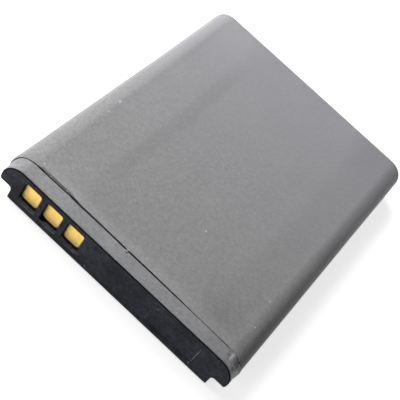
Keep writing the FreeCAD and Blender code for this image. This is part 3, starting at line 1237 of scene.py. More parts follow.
def sheet_mesh(name: str, outer: np.ndarray, inner: np.ndarray, kept: np.ndarray,
               closed: bool) -> bpy.types.Object:
    """Thin solid between an outer and an inner grid of points, with cells left out.

    Its outer face has material number 0, and its cut edges and inner face have 1.

    Args:
        name: Name of the object.
        outer: Outer points by row and column, in metres.
        inner: Inner points by row and column.
        kept: True for each cell that has film.
        closed: Whether the last column joins the first.

    Returns:
        The object, linked to the scene.
    """
    rows, columns = outer.shape[:2]
    cells = columns if closed else columns - 1
    number = np.arange(rows * columns).reshape(rows, columns)
    faces, materials = [], []

    def is_kept(row: int, cell: int) -> bool:
        """Whether a cell has film.

        Args:
            row: Its row, which may lie outside the grid.
            cell: Its number in the row, which may lie outside too.

        Returns:
            True where there is film.
        """
        if not 0 <= row < rows - 1:
            return False
        if closed:
            return bool(kept[row, cell % cells])
        return 0 <= cell < cells and bool(kept[row, cell])

    under = rows * columns
    for row in range(rows - 1):
        for cell in range(cells):
            if not is_kept(row, cell):
                continue
            after = (cell + 1) % columns
            a, b = int(number[row, cell]), int(number[row, after])
            c, d = int(number[row + 1, after]), int(number[row + 1, cell])
            faces.append((a, b, c, d))
            faces.append((d + under, c + under, b + under, a + under))
            materials += [0, 1]
            for near, first, second in (((row - 1, cell), a, b), ((row, cell + 1), b, c),
                                        ((row + 1, cell), c, d), ((row, cell - 1), d, a)):
                if not is_kept(*near):
                    faces.append((second, first, first + under, second + under))
                    materials.append(1)
    points = np.concatenate([outer.reshape(-1, 3), inner.reshape(-1, 3)])
    mesh = bpy.data.meshes.new(name)
    mesh.from_pydata(points.tolist(), [], faces)
    mesh.polygons.foreach_set("material_index", materials)
    work = bmesh.new()
    work.from_mesh(mesh)
    bmesh.ops.delete(work, geom=[v for v in work.verts if not v.link_faces], context="VERTS")
    bmesh.ops.recalc_face_normals(work, faces=work.faces)
    work.to_mesh(mesh)
    work.free()
    return placed(name, mesh)


@dataclass(frozen=True)
class Seam:
    """Gap between the collar film and the main wrap, laid on by hand.

    The course gives the depth of its middle by X, and the left course adds to it by the angle round
    the left side. The widths are by X.
    """

    course: tuple[Pair, ...] = (
        (-15.0, 2.25), (-14.0, 2.25), (-12.8, 2.22), (-11.0, 2.22), (-10.4, 2.25), (-9.6, 2.29),
        (-9.0, 2.31), (-8.5, 2.29), (-8.0, 2.25), (-5.0, 2.265), (-2.0, 2.225), (0.0, 2.20), (2.0, 2.20),
        (4.0, 2.18), (6.0, 2.16), (8.0, 2.14), (10.0, 2.10), (12.0, 2.08), (13.0, 2.05), (15.0, 2.04),
        (17.2, 1.97))
    left_course: tuple[Pair, ...] = (
        (90.0, 0.0), (114.0, -0.02), (127.0, -0.12), (136.0, -0.20), (145.0, -0.31), (152.0, -0.40),
        (160.0, -0.46), (176.0, -0.46), (184.0, -0.38), (192.0, -0.26), (202.0, -0.12), (216.0, 0.0))
    widths: tuple[Pair, ...] = (
        (-17.2, 0.03), (-16.5, 0.03), (-16.0, 0.08), (-15.5, 0.12), (-15.0, 0.17), (-14.6, 0.18),
        (-14.2, 0.23), (-13.6, 0.23), (-13.2, 0.18), (-12.6, 0.15), (-11.0, 0.14), (-10.4, 0.17),
        (-9.8, 0.16), (-9.4, 0.24), (-9.0, 0.36), (-8.5, 0.34), (-8.0, 0.29), (-5.0, 0.27), (-2.0, 0.22),
        (0.0, 0.25), (4.0, 0.22), (6.0, 0.20), (7.0, 0.18), (8.0, 0.15), (9.0, 0.11), (10.0, 0.08),
        (12.0, 0.09), (13.0, 0.10), (13.9, 0.13), (14.4, 0.08), (14.8, 0.03), (17.2, 0.02))
    underside_width: float = 0.09
    underside_turn: Pair = (-0.7, -0.1)
    bridge_x: float = -0.87
    bridge_width: float = 0.16
    bridge_gap: float = 0.02
    bridge_reach: float = 0.4
    bridge_step: float = 0.08
    raggedness: float = 0.012
    wrap_raggedness: float = 0.6

    @staticmethod
    def read(table: Sequence[Pair], x: float) -> float:
        """Value of a table at one X."""
        return float(np.interp(x, [row[0] for row in table], [row[1] for row in table]))

    def edges(self, station: Station) -> Pair:
        """Depths of the two edges of the seam at one place round the pack.

        Args:
            station: The place.

        Returns:
            Depth of the collar's rear edge and of the wrap's front edge.
        """
        x, _ = station.at(0.0)
        middle = self.read(self.course, x)
        if station.out_x < 0:
            middle += self.read(self.left_course, station.angle % 360)
        top = eased(station.out_z, *self.underside_turn)
        width = top * self.read(self.widths, x) + (1 - top) * self.underside_width
        width -= (width - self.bridge_gap) * hump(x, self.bridge_x, self.bridge_width) * top
        ragged = self.raggedness * noise.noise(Vector((x * 1.7, station.out_z * 2.0, 3.0)))
        return middle - width / 2 + ragged, middle + width / 2 - self.wrap_raggedness * ragged

    def columns(self, places: Iterable[float]) -> list[float]:
        """Adds closer X places where a scrap bridges the seam.

        Args:
            places: X places over the top.

        Returns:
            All the places from right to left.
        """
        close = np.arange(self.bridge_x - self.bridge_reach, self.bridge_x + self.bridge_reach + 0.01,
                          self.bridge_step)
        return sorted({round(float(x), 3) for x in (*places, *close)}, reverse=True)


@dataclass(frozen=True)
class Ridge:
    """Ridge or groove along the seam, by the distance from a film's edge."""

    rise: float
    middle: float
    width: float

    def at(self, offset: float) -> float:
        """Rise at a distance, below 0 in a groove."""
        return self.rise * hump(offset, self.middle, self.width)


@dataclass(frozen=True)
class Wrinkle:
    """Ridge or groove along the collar at its right side.

    Its angle leans by so many degrees per millimetre from a depth, and it fades between the depths
    where it begins and where it ends.
    """

    rise: float
    angle: float
    width: float
    begins: Pair = (-1.0, 0.0)
    lean: float = 0.0
    lean_from: float = 0.0
    ends: Pair = (9.0, 8.0)

    def at(self, turn: float, depth: float) -> float:
        """Rise at an angle and a depth, below 0 in a groove."""
        ridge = self.rise * hump(turn, self.angle + self.lean * (depth - self.lean_from), self.width)
        return ridge * eased(depth, *self.begins) * eased(depth, *self.ends)


@dataclass
class Films:
    """The collar film and the main wrap, with the seam between them.

    Each bulge is a table of how far a film stands out at one side, by depth.
    """

    seam: Seam = field(default_factory=Seam)
    joint_inset: float = 6.5
    joint_gap: float = 0.15
    notch_inner_x: float = 15.1
    notch_height: float = 1.95
    notch_depth: float = 1.8
    slit: Pair = (-12.9, -9.7)
    slit_offsets: Pair = (0.17, 0.25)
    slit_bridges: tuple[Pair, ...] = ((-12.55, 0.16), (-10.2, 0.12))
    lifted_from: Pair = (-14.4, -13.6)
    lifted_to: Pair = (-8.6, -9.4)
    left_bulge: tuple[Pair, ...] = (
        (1.7, 0.12), (1.9, 0.30), (2.15, 0.36), (2.6, 0.36), (3.2, 0.31), (5.0, 0.29), (7.0, 0.26),
        (10.0, 0.24), (15.0, 0.19), (20.0, 0.13), (25.0, 0.08), (30.0, 0.02), (35.0, 0.0))
    right_bulge: tuple[Pair, ...] = (
        (1.6, 0.12), (2.2, 0.13), (2.7, 0.09), (10.0, 0.08), (25.0, 0.03), (30.0, 0.0))
    collar_left_bulge: tuple[Pair, ...] = (
        (0.35, 0.0), (0.9, 0.0), (1.25, 0.03), (1.5, 0.09), (1.8, 0.16), (2.2, 0.28))
    collar_right_bulge: tuple[Pair, ...] = ((0.35, -0.03), (1.1, -0.04), (1.5, 0.01), (1.9, 0.11))
    bulge_turn: Pair = (0.25, 0.95)
    wrap_settled: float = 0.012
    collar_settled: float = 0.008
    broad_wave: float = 0.010
    fine_wave: float = 0.0015
    curl: tuple[Ridge, Ridge] = (Ridge(0.035, 0.05, 0.09), Ridge(-0.02, 0.30, 0.08))
    flat_edge: Ridge = Ridge(-0.02, 0.0, 0.12)
    lifted_edge: Ridge = Ridge(-0.03, 0.2, 0.25)
    collar_edge: Ridge = Ridge(-0.02, 0.0, 0.12)
    column_step: float = 0.4
    close_step: float = 0.12
    close_x: float = -8.6
    corner_places: int = 17
    notch_places: int = 9
    right_steps: int = 48
    collar_close_x: float = -0.6
    near_offsets: tuple[float, ...] = (
        0.0, 0.03, 0.06, 0.10, 0.13, 0.17, 0.21, 0.25, 0.30, 0.38, 0.5, 0.7, 1.0, 1.5)
    far_offset: float = 2.3
    far_rows: int = 44
    rear_margin: float = 2.26
    collar_rows: tuple[float, ...] = (0.35, 0.6, 0.85, 1.1, 1.35, 1.6)
    edge_run: float = 0.08
    edge_shares: tuple[float, ...] = (0.3, 0.55, 0.75, 0.9, 1.0)
    wrinkles: tuple[Wrinkle, ...] = (
        Wrinkle(0.060, 72, 2.8, (0.45, 0.8), ends=(2.1, 1.5)),
        Wrinkle(-0.070, 60, 4.5, (0.3, 1.0)),
        Wrinkle(0.055, 51, 3.0, (0.7, 1.2)),
        Wrinkle(-0.090, 43, 3.2, (0.8, 1.3), 6, 1.4),
        Wrinkle(0.060, 24, 3.5, (0.7, 1.1), 5, 1.2),
        Wrinkle(-0.060, 15, 3.5))
    wrinkle_top: float = 0.045
    wrap_finish: FilmFinish = FilmFinish(
        name="wrap film", colour=srgb(147, 147, 147),
        # Painted light: darker at the contact end, paler and bluer at the rear
        front_shade_tint=(0.95, 0.95, 0.945), rear_light_tint=(1.06, 1.055, 1.125),
        # Painted light and painted shade: paler stripes on the left side and the left front, darker ones
        # on the right side and one along the top
        painted_bands=(PaintedBand(-8.3, 0.5, 0.9, 6.0, 40.0, -0.085), PaintedBand(17.2, 0.6, 1.1, -7.0, 20.0, -0.16),
               PaintedBand(17.2, 0.6, 1.1, -7.0, 30.0, -0.16), PaintedBand(17.2, 0.6, 1.1, -7.0, 42.0, -0.10),
               PaintedBand(16.6, 0.4, 0.8, -7.0, 11.0, -0.2), PaintedBand(-16.7, 0.2, 0.5, -7.0, 51.0, 0.08),
               PaintedBand(-11.4, 1.8, 2.0, -7.0, 51.0, 0.035), PaintedBand(-11.4, 1.6, 2.4, -7.0, 10.0, 0.05),
               PaintedBand(-12.4, 1.4, 2.4, 35.0, 55.0, 0.07), PaintedBand(12.2, 1.0, 2.2, -7.0, 51.0, -0.07),
               PaintedBand(11.0, 1.6, 2.4, -7.0, 10.5, -0.08), PaintedBand(12.5, 2.0, 3.0, 35.5, 55.0, -0.05)),
        # Painted shade under the lifted flap of the wrap by the slit, and a painted highlight along the
        # wrap's front edge
        painted_folds=(PaintedFold(-14.4, -9.0, 2.54, 0.24, -0.56), PaintedFold(-15.0, 14.2, 2.9, 1.3, 0.13)),
        marks=(Mark((-12.55, -20.1, 5.2), 0.09, 0.35), Mark((-10.2, -20.08, 5.2), 0.09, 0.35),
               Mark((3.61, -10.35, 5.2), 0.14, 0.9), Mark((14.41, -11.59, 5.2), 0.12, 0.8),
               Mark((15.03, -15.89, 5.14), 0.14, 0.8), Mark((-14.68, -9.99, 5.2), 0.16, 0.25),
               Mark((-14.6, -6.9, 5.2), 0.26, 0.22), Mark((-14.75, -4.42, 5.18), 0.3, 0.32),
               Mark((-14.2, -19.4, 5.2), 0.16, 0.4), Mark((-13.9, -18.7, 5.2), 0.12, 0.25)))
    collar_finish: FilmFinish = FilmFinish(
        name="collar film", colour=srgb(140, 140, 142), roughness=0.42, gloss=0.2, grain=0.3,
        flake=replace(FLAKE, share=0.3),
        # Painted light and painted shade: darker at the left end and the right side, paler between
        painted_bands=(PaintedBand(-15.15, 0.25, 0.4, -7.0, 9.0, -0.18), PaintedBand(-11.0, 1.5, 1.5, -7.0, 9.0, 0.08),
               PaintedBand(-2.6, 1.0, 1.2, -7.0, 9.0, 0.06), PaintedBand(13.6, 1.0, 1.6, -7.0, 9.0, -0.14)),
        # Painted highlights on glossy streaks at the right end, painted shade in the wrinkle valleys
        # there, and painted shadow of the scrap that bridges the seam, with a pale spot beside it
        marks=(Mark((15.25, -20.8, 5.09), 0.40, 0.32), Mark((15.35, -21.35, 5.05), 0.46, 0.36),
               Mark((15.47, -21.95, 5.0), 0.40, 0.26), Mark((14.8, -21.2, 5.18), 0.32, -0.38),
               Mark((14.7, -20.75, 5.19), 0.24, -0.25), Mark((14.9, -21.7, 5.17), 0.22, -0.2),
               Mark((16.02, -20.65, 4.69), 0.48, -0.85), Mark((16.14, -21.1, 4.58), 0.56, -0.85),
               Mark((16.18, -21.8, 4.54), 0.52, -0.8), Mark((16.78, -20.55, 3.81), 0.16, -0.6),
               Mark((16.78, -21.21, 3.83), 0.32, 0.6), Mark((-0.72, -20.58, 5.2), 0.19, -0.95),
               Mark((-0.98, -20.66, 5.2), 0.16, -0.7), Mark((-0.49, -20.63, 5.2), 0.08, 0.3)))
    # The cut edges and the inner face are painted dark: the dark stands for the shade inside the seam
    # gap
    shaded_edge_finish: MouldedFinish = MouldedFinish(
        name="film edge painted dark for shade", colour=srgb(30, 30, 32), worn=srgb(62, 62, 64), roughness=0.75, mottle=0.6,
        dust=0.03, gloss=0.1)

    def bulge(self, station: Station, depth: float, collar: bool) -> float:
        """How far a film stands out at a side, most just behind the seam.

        Args:
            station: Place round the pack.
            depth: Depth of the point.
            collar: Whether it is the collar film.

        Returns:
            The distance in millimetres.
        """
        left, right = self.left_bulge, self.right_bulge
        if collar:
            left, right = self.collar_left_bulge, self.collar_right_bulge
        table = left if station.out_x < 0 else right
        return Seam.read(table, depth) * eased(abs(station.out_x), *self.bulge_turn)

    def waviness(self, x: float, depth: float, z: float) -> float:
        """How far the film rises from its ideal face, mostly a little below 0.

        Args:
            x: Place across the pack.
            depth: Depth of the point.
            z: Its height.

        Returns:
            The rise in millimetres.
        """
        broad = noise.noise(Vector((x * 0.16, depth * 0.11, z * 0.2)))
        fine = noise.noise(Vector((x * 0.9, depth * 0.7, z * 0.9 + 5.0)))
        return -self.wrap_settled + self.broad_wave * broad + self.fine_wave * fine

    def on_film(self, station: Station, depth: float, inset: float, rise: float,
                collar: bool = False) -> Point:
        """Point of a film in metres."""
        x, z = station.at(inset - rise - self.bulge(station, depth, collar))
        return tuple(point(x, depth, z))

    def turned_rows(self, radius_in: float, turn_end: float, count: int) -> list[Pair]:
        """Rows of a film's face over the shoulder, from the level face to its end.

        Args:
            radius_in: How far the face lies inside the outline.
            turn_end: Angle at its end, in radians.
            count: Number of rows.

        Returns:
            Inset and run of each row.
        """
        radius = PACK.shoulder - radius_in
        turns = [turn_end * step / count for step in range(1, count + 1)]
        return [(radius_in + radius * (1 - math.cos(turn)), radius * math.sin(turn)) for turn in turns]

    def shoulder_rows(self, count: int = 6) -> list[tuple[Pair, Pair]]:
        """Rows over the shoulder, for the outer and the inner face.

        Args:
            count: Number of rows.

        Returns:
            Inset and run of the outer and of the inner face, for each row.
        """
        run = PACK.shoulder - PACK.lip
        outer = self.turned_rows(0.0, math.asin(run / PACK.shoulder), count)
        inner = self.turned_rows(PACK.film, math.asin(run / (PACK.shoulder - PACK.film)), count)
        return list(zip(outer, inner))

    def wrap_rise(self, station: Station, offset: float, depth: float) -> float:
        """Rise of the wrap's outer face, with its lifted edge by the seam.

        Args:
            station: Place round the pack.
            offset: Distance behind the wrap's front edge.
            depth: Depth of the point.

        Returns:
            The rise in millimetres.
        """
        x, z = station.at(0.0)
        on_top = 1.0 if station.out_z > 0.5 else 0.0
        lifted = eased(x, *self.lifted_from) * eased(x, *self.lifted_to) * on_top
        curl = sum(ridge.at(offset) for ridge in self.curl)
        tucked = self.flat_edge.at(offset) * (1 - lifted) + self.lifted_edge.at(offset) * lifted
        return self.waviness(x, depth, z) + lifted * curl + tucked

    def build_wrap(self) -> bpy.types.Object:
        """The main wrap, from the seam to the rear end.

        Returns:
            The piece.
        """
        joint = PACK.width / 2 - self.joint_inset
        across = self.seam.columns((
            *np.arange(PACK.core - self.column_step, self.close_x, -self.column_step),
            *np.arange(self.close_x, -PACK.core, -self.close_step)))
        walk = walk_round(joint + self.joint_gap / 2, joint - self.joint_gap / 2, across,
                          np.linspace(0, 90, self.corner_places))
        straight_end = PACK.length - PACK.shoulder
        edges = [self.seam.edges(station)[1] for station in walk]
        full = straight_end - self.rear_margin
        offsets = [*self.near_offsets, *np.linspace(self.far_offset, full, self.far_rows)]
        outer, inner_face = [], []
        for offset in offsets:
            rows = ([], [])
            for station, edge in zip(walk, edges):
                depth = edge + offset * (straight_end - edge) / full
                if offset <= self.near_offsets[-1]:
                    depth = edge + offset
                rise = self.wrap_rise(station, offset, depth)
                rows[0].append(self.on_film(station, depth, 0.0, rise))
                rows[1].append(self.on_film(station, depth, PACK.film, 0.0))
            outer.append(rows[0])
            inner_face.append(rows[1])
        for (out_inset, out_run), (in_inset, in_run) in self.shoulder_rows():
            outer.append([self.on_film(s, straight_end + out_run, out_inset, -self.wrap_settled)
                          for s in walk])
            inner_face.append([self.on_film(s, straight_end + in_run, in_inset, 0.0) for s in walk])
        kept = self.without_slit(walk, len(outer), offsets)
        made = sheet_mesh("wrap_film_sheet", np.array(outer), np.array(inner_face), kept, closed=False)
        soften(made)
        return made

    def without_slit(self, walk: Sequence[Station], rows: int, offsets: Sequence[float]) -> np.ndarray:
        """Cells of the wrap that have film: all but the torn slit behind its front edge.

        Args:
            walk: Places round the pack.
            rows: Number of rows of points.
            offsets: Distance of each row behind the front edge.

        Returns:
            True for each cell with film.
        """
        kept = np.ones((rows - 1, len(walk) - 1), bool)
        for row, offset in enumerate(offsets[:-1]):
            if not self.slit_offsets[0] <= offset < self.slit_offsets[1] - 0.001:
                continue
            for cell, (first, second) in enumerate(zip(walk, walk[1:])):
                x = (first.x + second.x) / 2
                bridged = any(abs(x - middle) < half for middle, half in self.slit_bridges)
                if first.out_z > 0.9 and self.slit[0] < x < self.slit[1] and not bridged:
                    kept[row, cell] = False
        return kept

    def collar_rise(self, station: Station, depth: float) -> float:
        """Rise of the collar's outer face, with the wrinkles at its right end.

        Args:
            station: Place round the pack.
            depth: Depth of the point.

        Returns:
            The rise in millimetres.
        """
        x, z = station.at(0.0)
        rise = self.waviness(x, depth, z)
        if station.out_x > 0 and station.out_z > -0.2:
            for wrinkle in self.wrinkles:
                rise += wrinkle.at(station.angle, depth)
        return min(rise, self.wrinkle_top)

    def collar_column(self, station: Station) -> tuple[list[Point], list[Point]]:
        """Points of the collar from its level face's start to the seam, at one place.

        Args:
            station: Place round the pack.

        Returns:
            The points of the outer and of the inner face.
        """
        end = self.seam.edges(station)[0]
        level_end = min(self.notch_depth, end - self.edge_run)
        shares = [(row - PACK.shoulder) / (self.notch_depth - PACK.shoulder)
                  for row in (*self.collar_rows, self.notch_depth)]
        depths = [PACK.shoulder + share * (level_end - PACK.shoulder) for share in shares]
        depths += [level_end + (end - level_end) * share for share in self.edge_shares]
        outer, inner = [], []
        for depth in depths:
            rise = self.collar_rise(station, depth) + self.collar_edge.at(depth - end)
            outer.append(self.on_film(station, depth, 0.0, rise, True))
            inner.append(self.on_film(station, depth, PACK.film, 0.0, True))
        return outer, inner

    def build_collar(self) -> bpy.types.Object:
        """The narrow collar film, notched in its lower corners.

        Returns:
            The piece.
        """
        low = math.degrees(math.asin((self.notch_inner_x - PACK.core) / PACK.side_radius))
        high = math.degrees(math.acos(1 - self.notch_height / PACK.side_radius))
        between = np.linspace(low, high, self.notch_places)[1:-1]
        turns = [0.0, low / 2, low, *between, high, (high + 90) / 2, 90.0]
        step = self.column_step
        across = self.seam.columns(np.arange(PACK.core - step, -PACK.core, -step))
        walk = walk_round(0.0, self.collar_close_x, across, turns, self.right_steps)
        outer, inner_face = [], []
        for (out_inset, out_run), (in_inset, in_run) in reversed(self.shoulder_rows()):
            outer.append([self.on_film(s, PACK.shoulder - out_run, out_inset, -self.collar_settled, True)
                          for s in walk])
            inner_face.append([self.on_film(s, PACK.shoulder - in_run, in_inset, 0.0, True)
                               for s in walk])
        level = [self.collar_column(station) for station in walk]
        outer.extend(zip(*(pair[0] for pair in level)))
        inner_face.extend(zip(*(pair[1] for pair in level)))
        kept = np.ones((len(outer) - 1, len(walk)), bool)
        notch_rows = len(outer) - len(self.edge_shares) - 1
        for cell, first in enumerate(walk):
            second = walk[(cell + 1) % len(walk)]
            x = abs(first.at(0.0)[0] + second.at(0.0)[0]) / 2
            z = (first.at(0.0)[1] + second.at(0.0)[1]) / 2
            if x > self.notch_inner_x and z < self.notch_height:
                kept[:notch_rows, cell] = False
        made = sheet_mesh("collar_film_band", np.array(outer), np.array(inner_face), kept, closed=True)
        soften(made)
        return made

    def build(self) -> None:
        """Builds and dresses both films."""
        # The films' cut edges are painted dark for the shade in the seam
        cut = [self.shaded_edge_finish]
        finish_piece(self.build_wrap(), self.wrap_finish, Slot.WRAP_FILM, ["wrap_label"], cut)
        finish_piece(self.build_collar(), self.collar_finish, Slot.COLLAR_FILM, ["collar_band"], cut)


# Moulded contact end


class Face(int, Enum):
    """Finishes of the front cap by their material number."""

    PLAIN = 0
    # Rubbed edges with a painted highlight
    RUBBED_HIGHLIGHT = 1
    # Near black, painted shade
    PAINTED_SHADE = 2
    # Paler sills, painted light, with dust
    SILL_LIGHT_AND_DUST = 3


@dataclass
class MouldedCap:
    """Black moulded end with contact windows, notched corners, a stepped recess and a skirt.

    The chip is the width, run and drop of a broken corner. The notch is its inner X, height and
    depth. A box is left, right, low and high. The rubbed stretches of the frame and the panel, which
    also carry a painted highlight, are given by height at their sides, and by X at the top.
    """

    depth: float = 4.0
    plate: float = 0.62
    cavity_half_width: float = 14.4
    skirt: float = 0.45
    cavity_corner: float = 0.4
    face_setback: float = 0.04
    foot_line: float = 0.70
    window_xs: tuple[float, ...] = (-12.64, -9.44, -6.24)
    window_size: Pair = (2.48, 3.53)
    window_z: float = 2.705
    window_head_lip: float = 0.11
    window_corner: float = 0.42
    edge_round: float = 0.05
    step_round: float = 0.08
    step_share: float = 0.95
    flare_steps: int = 5
    rib_width: float = 0.4
    rib_count: int = 8
    rib_depth: float = 0.95
    rib_end: float = 0.5
    chip: tuple[float, float, float] = (0.85, 0.46, 0.35)
    notch: tuple[float, float, float] = (15.1, 1.95, 1.8)
    notch_corner: float = 0.45
    notch_steps: int = 6
    frame_box: Box = (5.46, 12.62, 0.86, 4.12)
    frame_corner: float = 0.3
    frame_depth: float = 0.12
    panel_box: Box = (5.89, 12.24, 1.06, 3.98)
    panel_corner: float = 0.25
    panel_depth: float = 0.18
    panel_round: float = 0.14
    frame_left_rubbed_highlight: Pair = (1.2, 2.9)
    panel_left_rubbed_highlight: float = 2.6
    panel_right_rubbed_highlight: float = 1.4
    panel_top_rubbed_highlight: float = 8.8
    lip_depths: tuple[float, ...] = (0.005, 0.015, 0.03, 0.05, 0.08)
    seat_depths: tuple[float, ...] = (0.15, 0.2, 0.26, 0.349)
    rounded_normals: Pair = (0.08, 0.985)
    edge_reach: float = 0.16
    window_reach: float = 0.1
    slack: float = 0.005
    overshoot: float = 0.6
    finish: MouldedFinish = MouldedFinish(
        name="black moulding", colour=srgb(40, 42, 49), worn=srgb(66, 70, 78), roughness=0.45,
        relief=0.003, mottle=1.9, dust=0.16, rubbed=0.06, gloss=0.07,
        marks=(Mark((12.2, -22.44, 0.86), 0.14, 0.6), Mark((8.6, -22.4, 3.5), 0.10, 0.3),
               Mark((-5.67, -22.46, 1.05), 0.11, 0.75), Mark((-4.83, -22.46, 1.34), 0.15, 0.3),
               Mark((-3.38, -22.46, 0.72), 0.13, 0.4), Mark((13.3, -22.4, 1.5), 0.08, 0.3)))
    # Rubbed edges with a painted highlight: the lighter finish stands for the light that the rounded
    # edges of the frame and the panel catch, as well as for rubbing
    rubbed_highlight_finish: MouldedFinish = MouldedFinish(
        name="rubbed moulding with painted highlight", colour=srgb(52, 56, 62), worn=srgb(108, 114, 120), roughness=0.45,
        rubbed=0.6, dust=0.3, gloss=0.15)
    # Painted light: the window sills are coloured far paler than the face, with dust specks over it
    sill_light_and_dust_finish: MouldedFinish = MouldedFinish(
        name="sill moulding painted light, with dust", colour=srgb(88, 92, 110), worn=srgb(120, 124, 134), roughness=0.6,
        dust=0.4, gloss=0.15)
    # Painted shade: near black, for the window walls and the bare lip at the face
    shaded_finish: MouldedFinish = MouldedFinish(
        name="moulding painted dark for shade", colour=srgb(20, 20, 24), worn=srgb(36, 36, 40), roughness=0.8,
        dust=0.02, gloss=0.03)

    @property
    def pitch(self) -> float:
        """Distance from one window to the next."""
        return self.window_xs[1] - self.window_xs[0]

    def body(self) -> bpy.types.Object:
        """Outer form: bare lip at the face, then the seat of the film.

        Returns:
            The solid.
        """
        def inset_at(depth: float, radius: float, base: float) -> float:
            """Inset of the rounded shoulder, which starts at a base depth and inset."""
            return base + radius - math.sqrt(max(0.0, radius ** 2 - (radius - (depth - base)) ** 2))

        levels = [(0.0, PACK.shoulder)]
        for depth in (*self.lip_depths, PACK.lip):
            levels.append((depth, inset_at(depth, PACK.shoulder, 0.0)))
        for depth in (PACK.lip + 0.001, *self.seat_depths):
            levels.append((depth, inset_at(depth, PACK.shoulder - PACK.film, PACK.film)))
        levels.append((self.depth, PACK.film))
        half = PACK.width / 2
        rings = [rounded_ring(i - half, half - i, i, PACK.thickness - i, PACK.side_radius - i, depth,
                              steps=14) for depth, i in levels]
        return loft("front_cap_moulding", rings)

    def flared(self, name: str, outline: Callable[[float, float], list[Vector]], face: float, end: float,
               rounding: float, fall: float) -> bpy.types.Object:
        """Cutter that widens to a rounded edge at the face.

        Args:
            name: Name of the cutter.
            outline: Ring of an offset and a depth.
            face: Depth of the face that it opens in.
            end: Depth where it ends.
            rounding: Width of the rounded edge along the face.
            fall: Depth of the rounded edge.

        Returns:
            The cutter.
        """
        rings = [outline(rounding, face - self.overshoot), outline(rounding, face)]
        for step in range(1, self.flare_steps + 1):
            turn = math.radians(90 * step / self.flare_steps)
            rings.append(outline(rounding * (1 - math.sin(turn)), face + fall * (1 - math.cos(turn))))
        rings.append(outline(0.0, end))
        return loft(name, rings)

    def rectangle_cutter(self, name: str, box: Sequence[float], corner: float, face: float, end: float,
                         rounding: float, fall: float) -> bpy.types.Object:
        """Flared cutter with a rounded rectangle as its outline.

        Args:
            name: Name of the cutter.
            box: Left, right, low and high side.
            corner: Corner radius.
            face: Depth of the face that it opens in.
            end: Depth where it ends.
            rounding: Width of the rounded edge along the face.
            fall: Depth of the rounded edge.

        Returns:
            The cutter.
        """
        x0, x1, z0, z1 = box

        def outline(out: float, depth: float) -> list[Vector]:
            """Ring that lies out from the box by an offset."""
            return rounded_ring(x0 - out, x1 + out, z0 - out, z1 + out, corner + out, depth, steps=6)

        return self.flared(name, outline, face, end, rounding, fall)

    def notch_cutter(self, side: Side) -> bpy.types.Object:
        """Cutter for the locating notch in one lower corner.

        Args:
            side: Side of the pack.

        Returns:
            The cutter.
        """
        inner_x, height, depth_end = self.notch
        far_x, far_z = PACK.width / 2 + 3, -3.0

        def outline(out: float, depth: float) -> list[Vector]:
            """Ring of the notch, widened by an offset.

            Args:
                out: The offset.
                depth: Depth of its plane.

            Returns:
                The corner points in order.
            """
            x, z = inner_x - out, height + out
            radius = self.notch_corner + out
            places = [(far_x, far_z), (far_x, z)]
            for step in range(self.notch_steps + 1):
                turn = math.radians(90 + 90 * step / self.notch_steps)
                across, up = radius * math.cos(turn), radius * math.sin(turn)
                places.append((x + radius + across, z - radius + up))
            places.append((x, far_z))
            return [point(side.value * px, depth, pz) for px, pz in places]

        rounding = self.edge_round
        return self.flared(f"notch{side.name}", outline, 0.0, depth_end, rounding, rounding)

    def chip_cutter(self) -> bpy.types.Object:
        """Cutter for the broken corner behind the middle window's sill.

        Returns:
            The cutter.
        """
        width, run, drop = self.chip
        left = self.window_xs[1] - self.window_size[0] / 2
        sill = self.window_z - self.window_size[1] / 2
        back = self.plate + 0.05
        rings = []
        for z in (sill - drop, sill + self.window_corner):
            rings.append([point(left, self.plate - run, z), point(left, back, z),
                          point(left + width, back, z), point(left + width, self.plate, z)])
        return loft("chip", rings)

    def rib(self, x: float) -> bpy.types.Object:
        """One rib behind the plate.

        Args:
            x: Its middle.

        Returns:
            The rib.
        """
        half, end = self.rib_width / 2, self.rib_end
        rings = [rounded_ring(x - half, x + half, end, PACK.thickness - end, 0.05, depth, steps=2)
                 for depth in (self.plate - 0.05, self.rib_depth)]
        return loft("rib", rings)

    def windows(self) -> list[Box]:
        """Left, right, lower and upper side of each window, seen from the face.

        Returns:
            A box for each window.
        """
        width, height = self.window_size
        low, high = self.window_z - height / 2, self.window_z + height / 2 - self.window_head_lip
        return [(x - width / 2, x + width / 2, low, high) for x in self.window_xs]

    def is_rubbed_highlight(self, x: float, z: float) -> bool:
        """Whether a rounded edge of the frame or the panel is rubbed and painted with a highlight at a
        place.

        Args:
            x: Place across the face.
            z: Its height.

        Returns:
            True where it is rubbed and painted with a highlight.
        """
        reach = self.edge_reach

        def near(box: Box, side: int) -> bool:
            """Whether the place is near one side of a box.

            Args:
                box: Left, right, low and high side.
                side: Number of the side in the box.

            Returns:
                True where it is near.
            """
            x0, x1, z0, z1 = box
            inside = x0 - reach < x < x1 + reach and z0 - reach < z < z1 + reach
            return inside and abs((x, x, z, z)[side] - box[side]) < reach

        left, right, _, high = range(4)
        low_end, high_end = self.frame_left_rubbed_highlight
        return (near(self.frame_box, left) and low_end < z < high_end
                or near(self.panel_box, right) and z > self.panel_right_rubbed_highlight
                or near(self.panel_box, high) and x < self.panel_top_rubbed_highlight
                or near(self.panel_box, left) and z > self.panel_left_rubbed_highlight)

    def finish_of(self, centre: Vector, normal: Vector) -> Face:
        """Finish of a face of the moulding.

        Args:
            centre: Middle of the face, in metres.
            normal: Direction out of it.

        Returns:
            The finish.
        """
        x, depth, z = centre.x / MM, centre.y / MM + PACK.length / 2, centre.z / MM
        reach = self.window_reach
        if depth > self.plate + reach:
            return Face.PLAIN
        least, most = self.rounded_normals
        rounded = least < -normal.y < most
        for x0, x1, z0, z1 in self.windows():
            if x0 - reach < x < x1 + reach and z0 - reach < z < z1 + reach:
                if depth <= self.face_setback + self.slack:
                    return Face.PLAIN
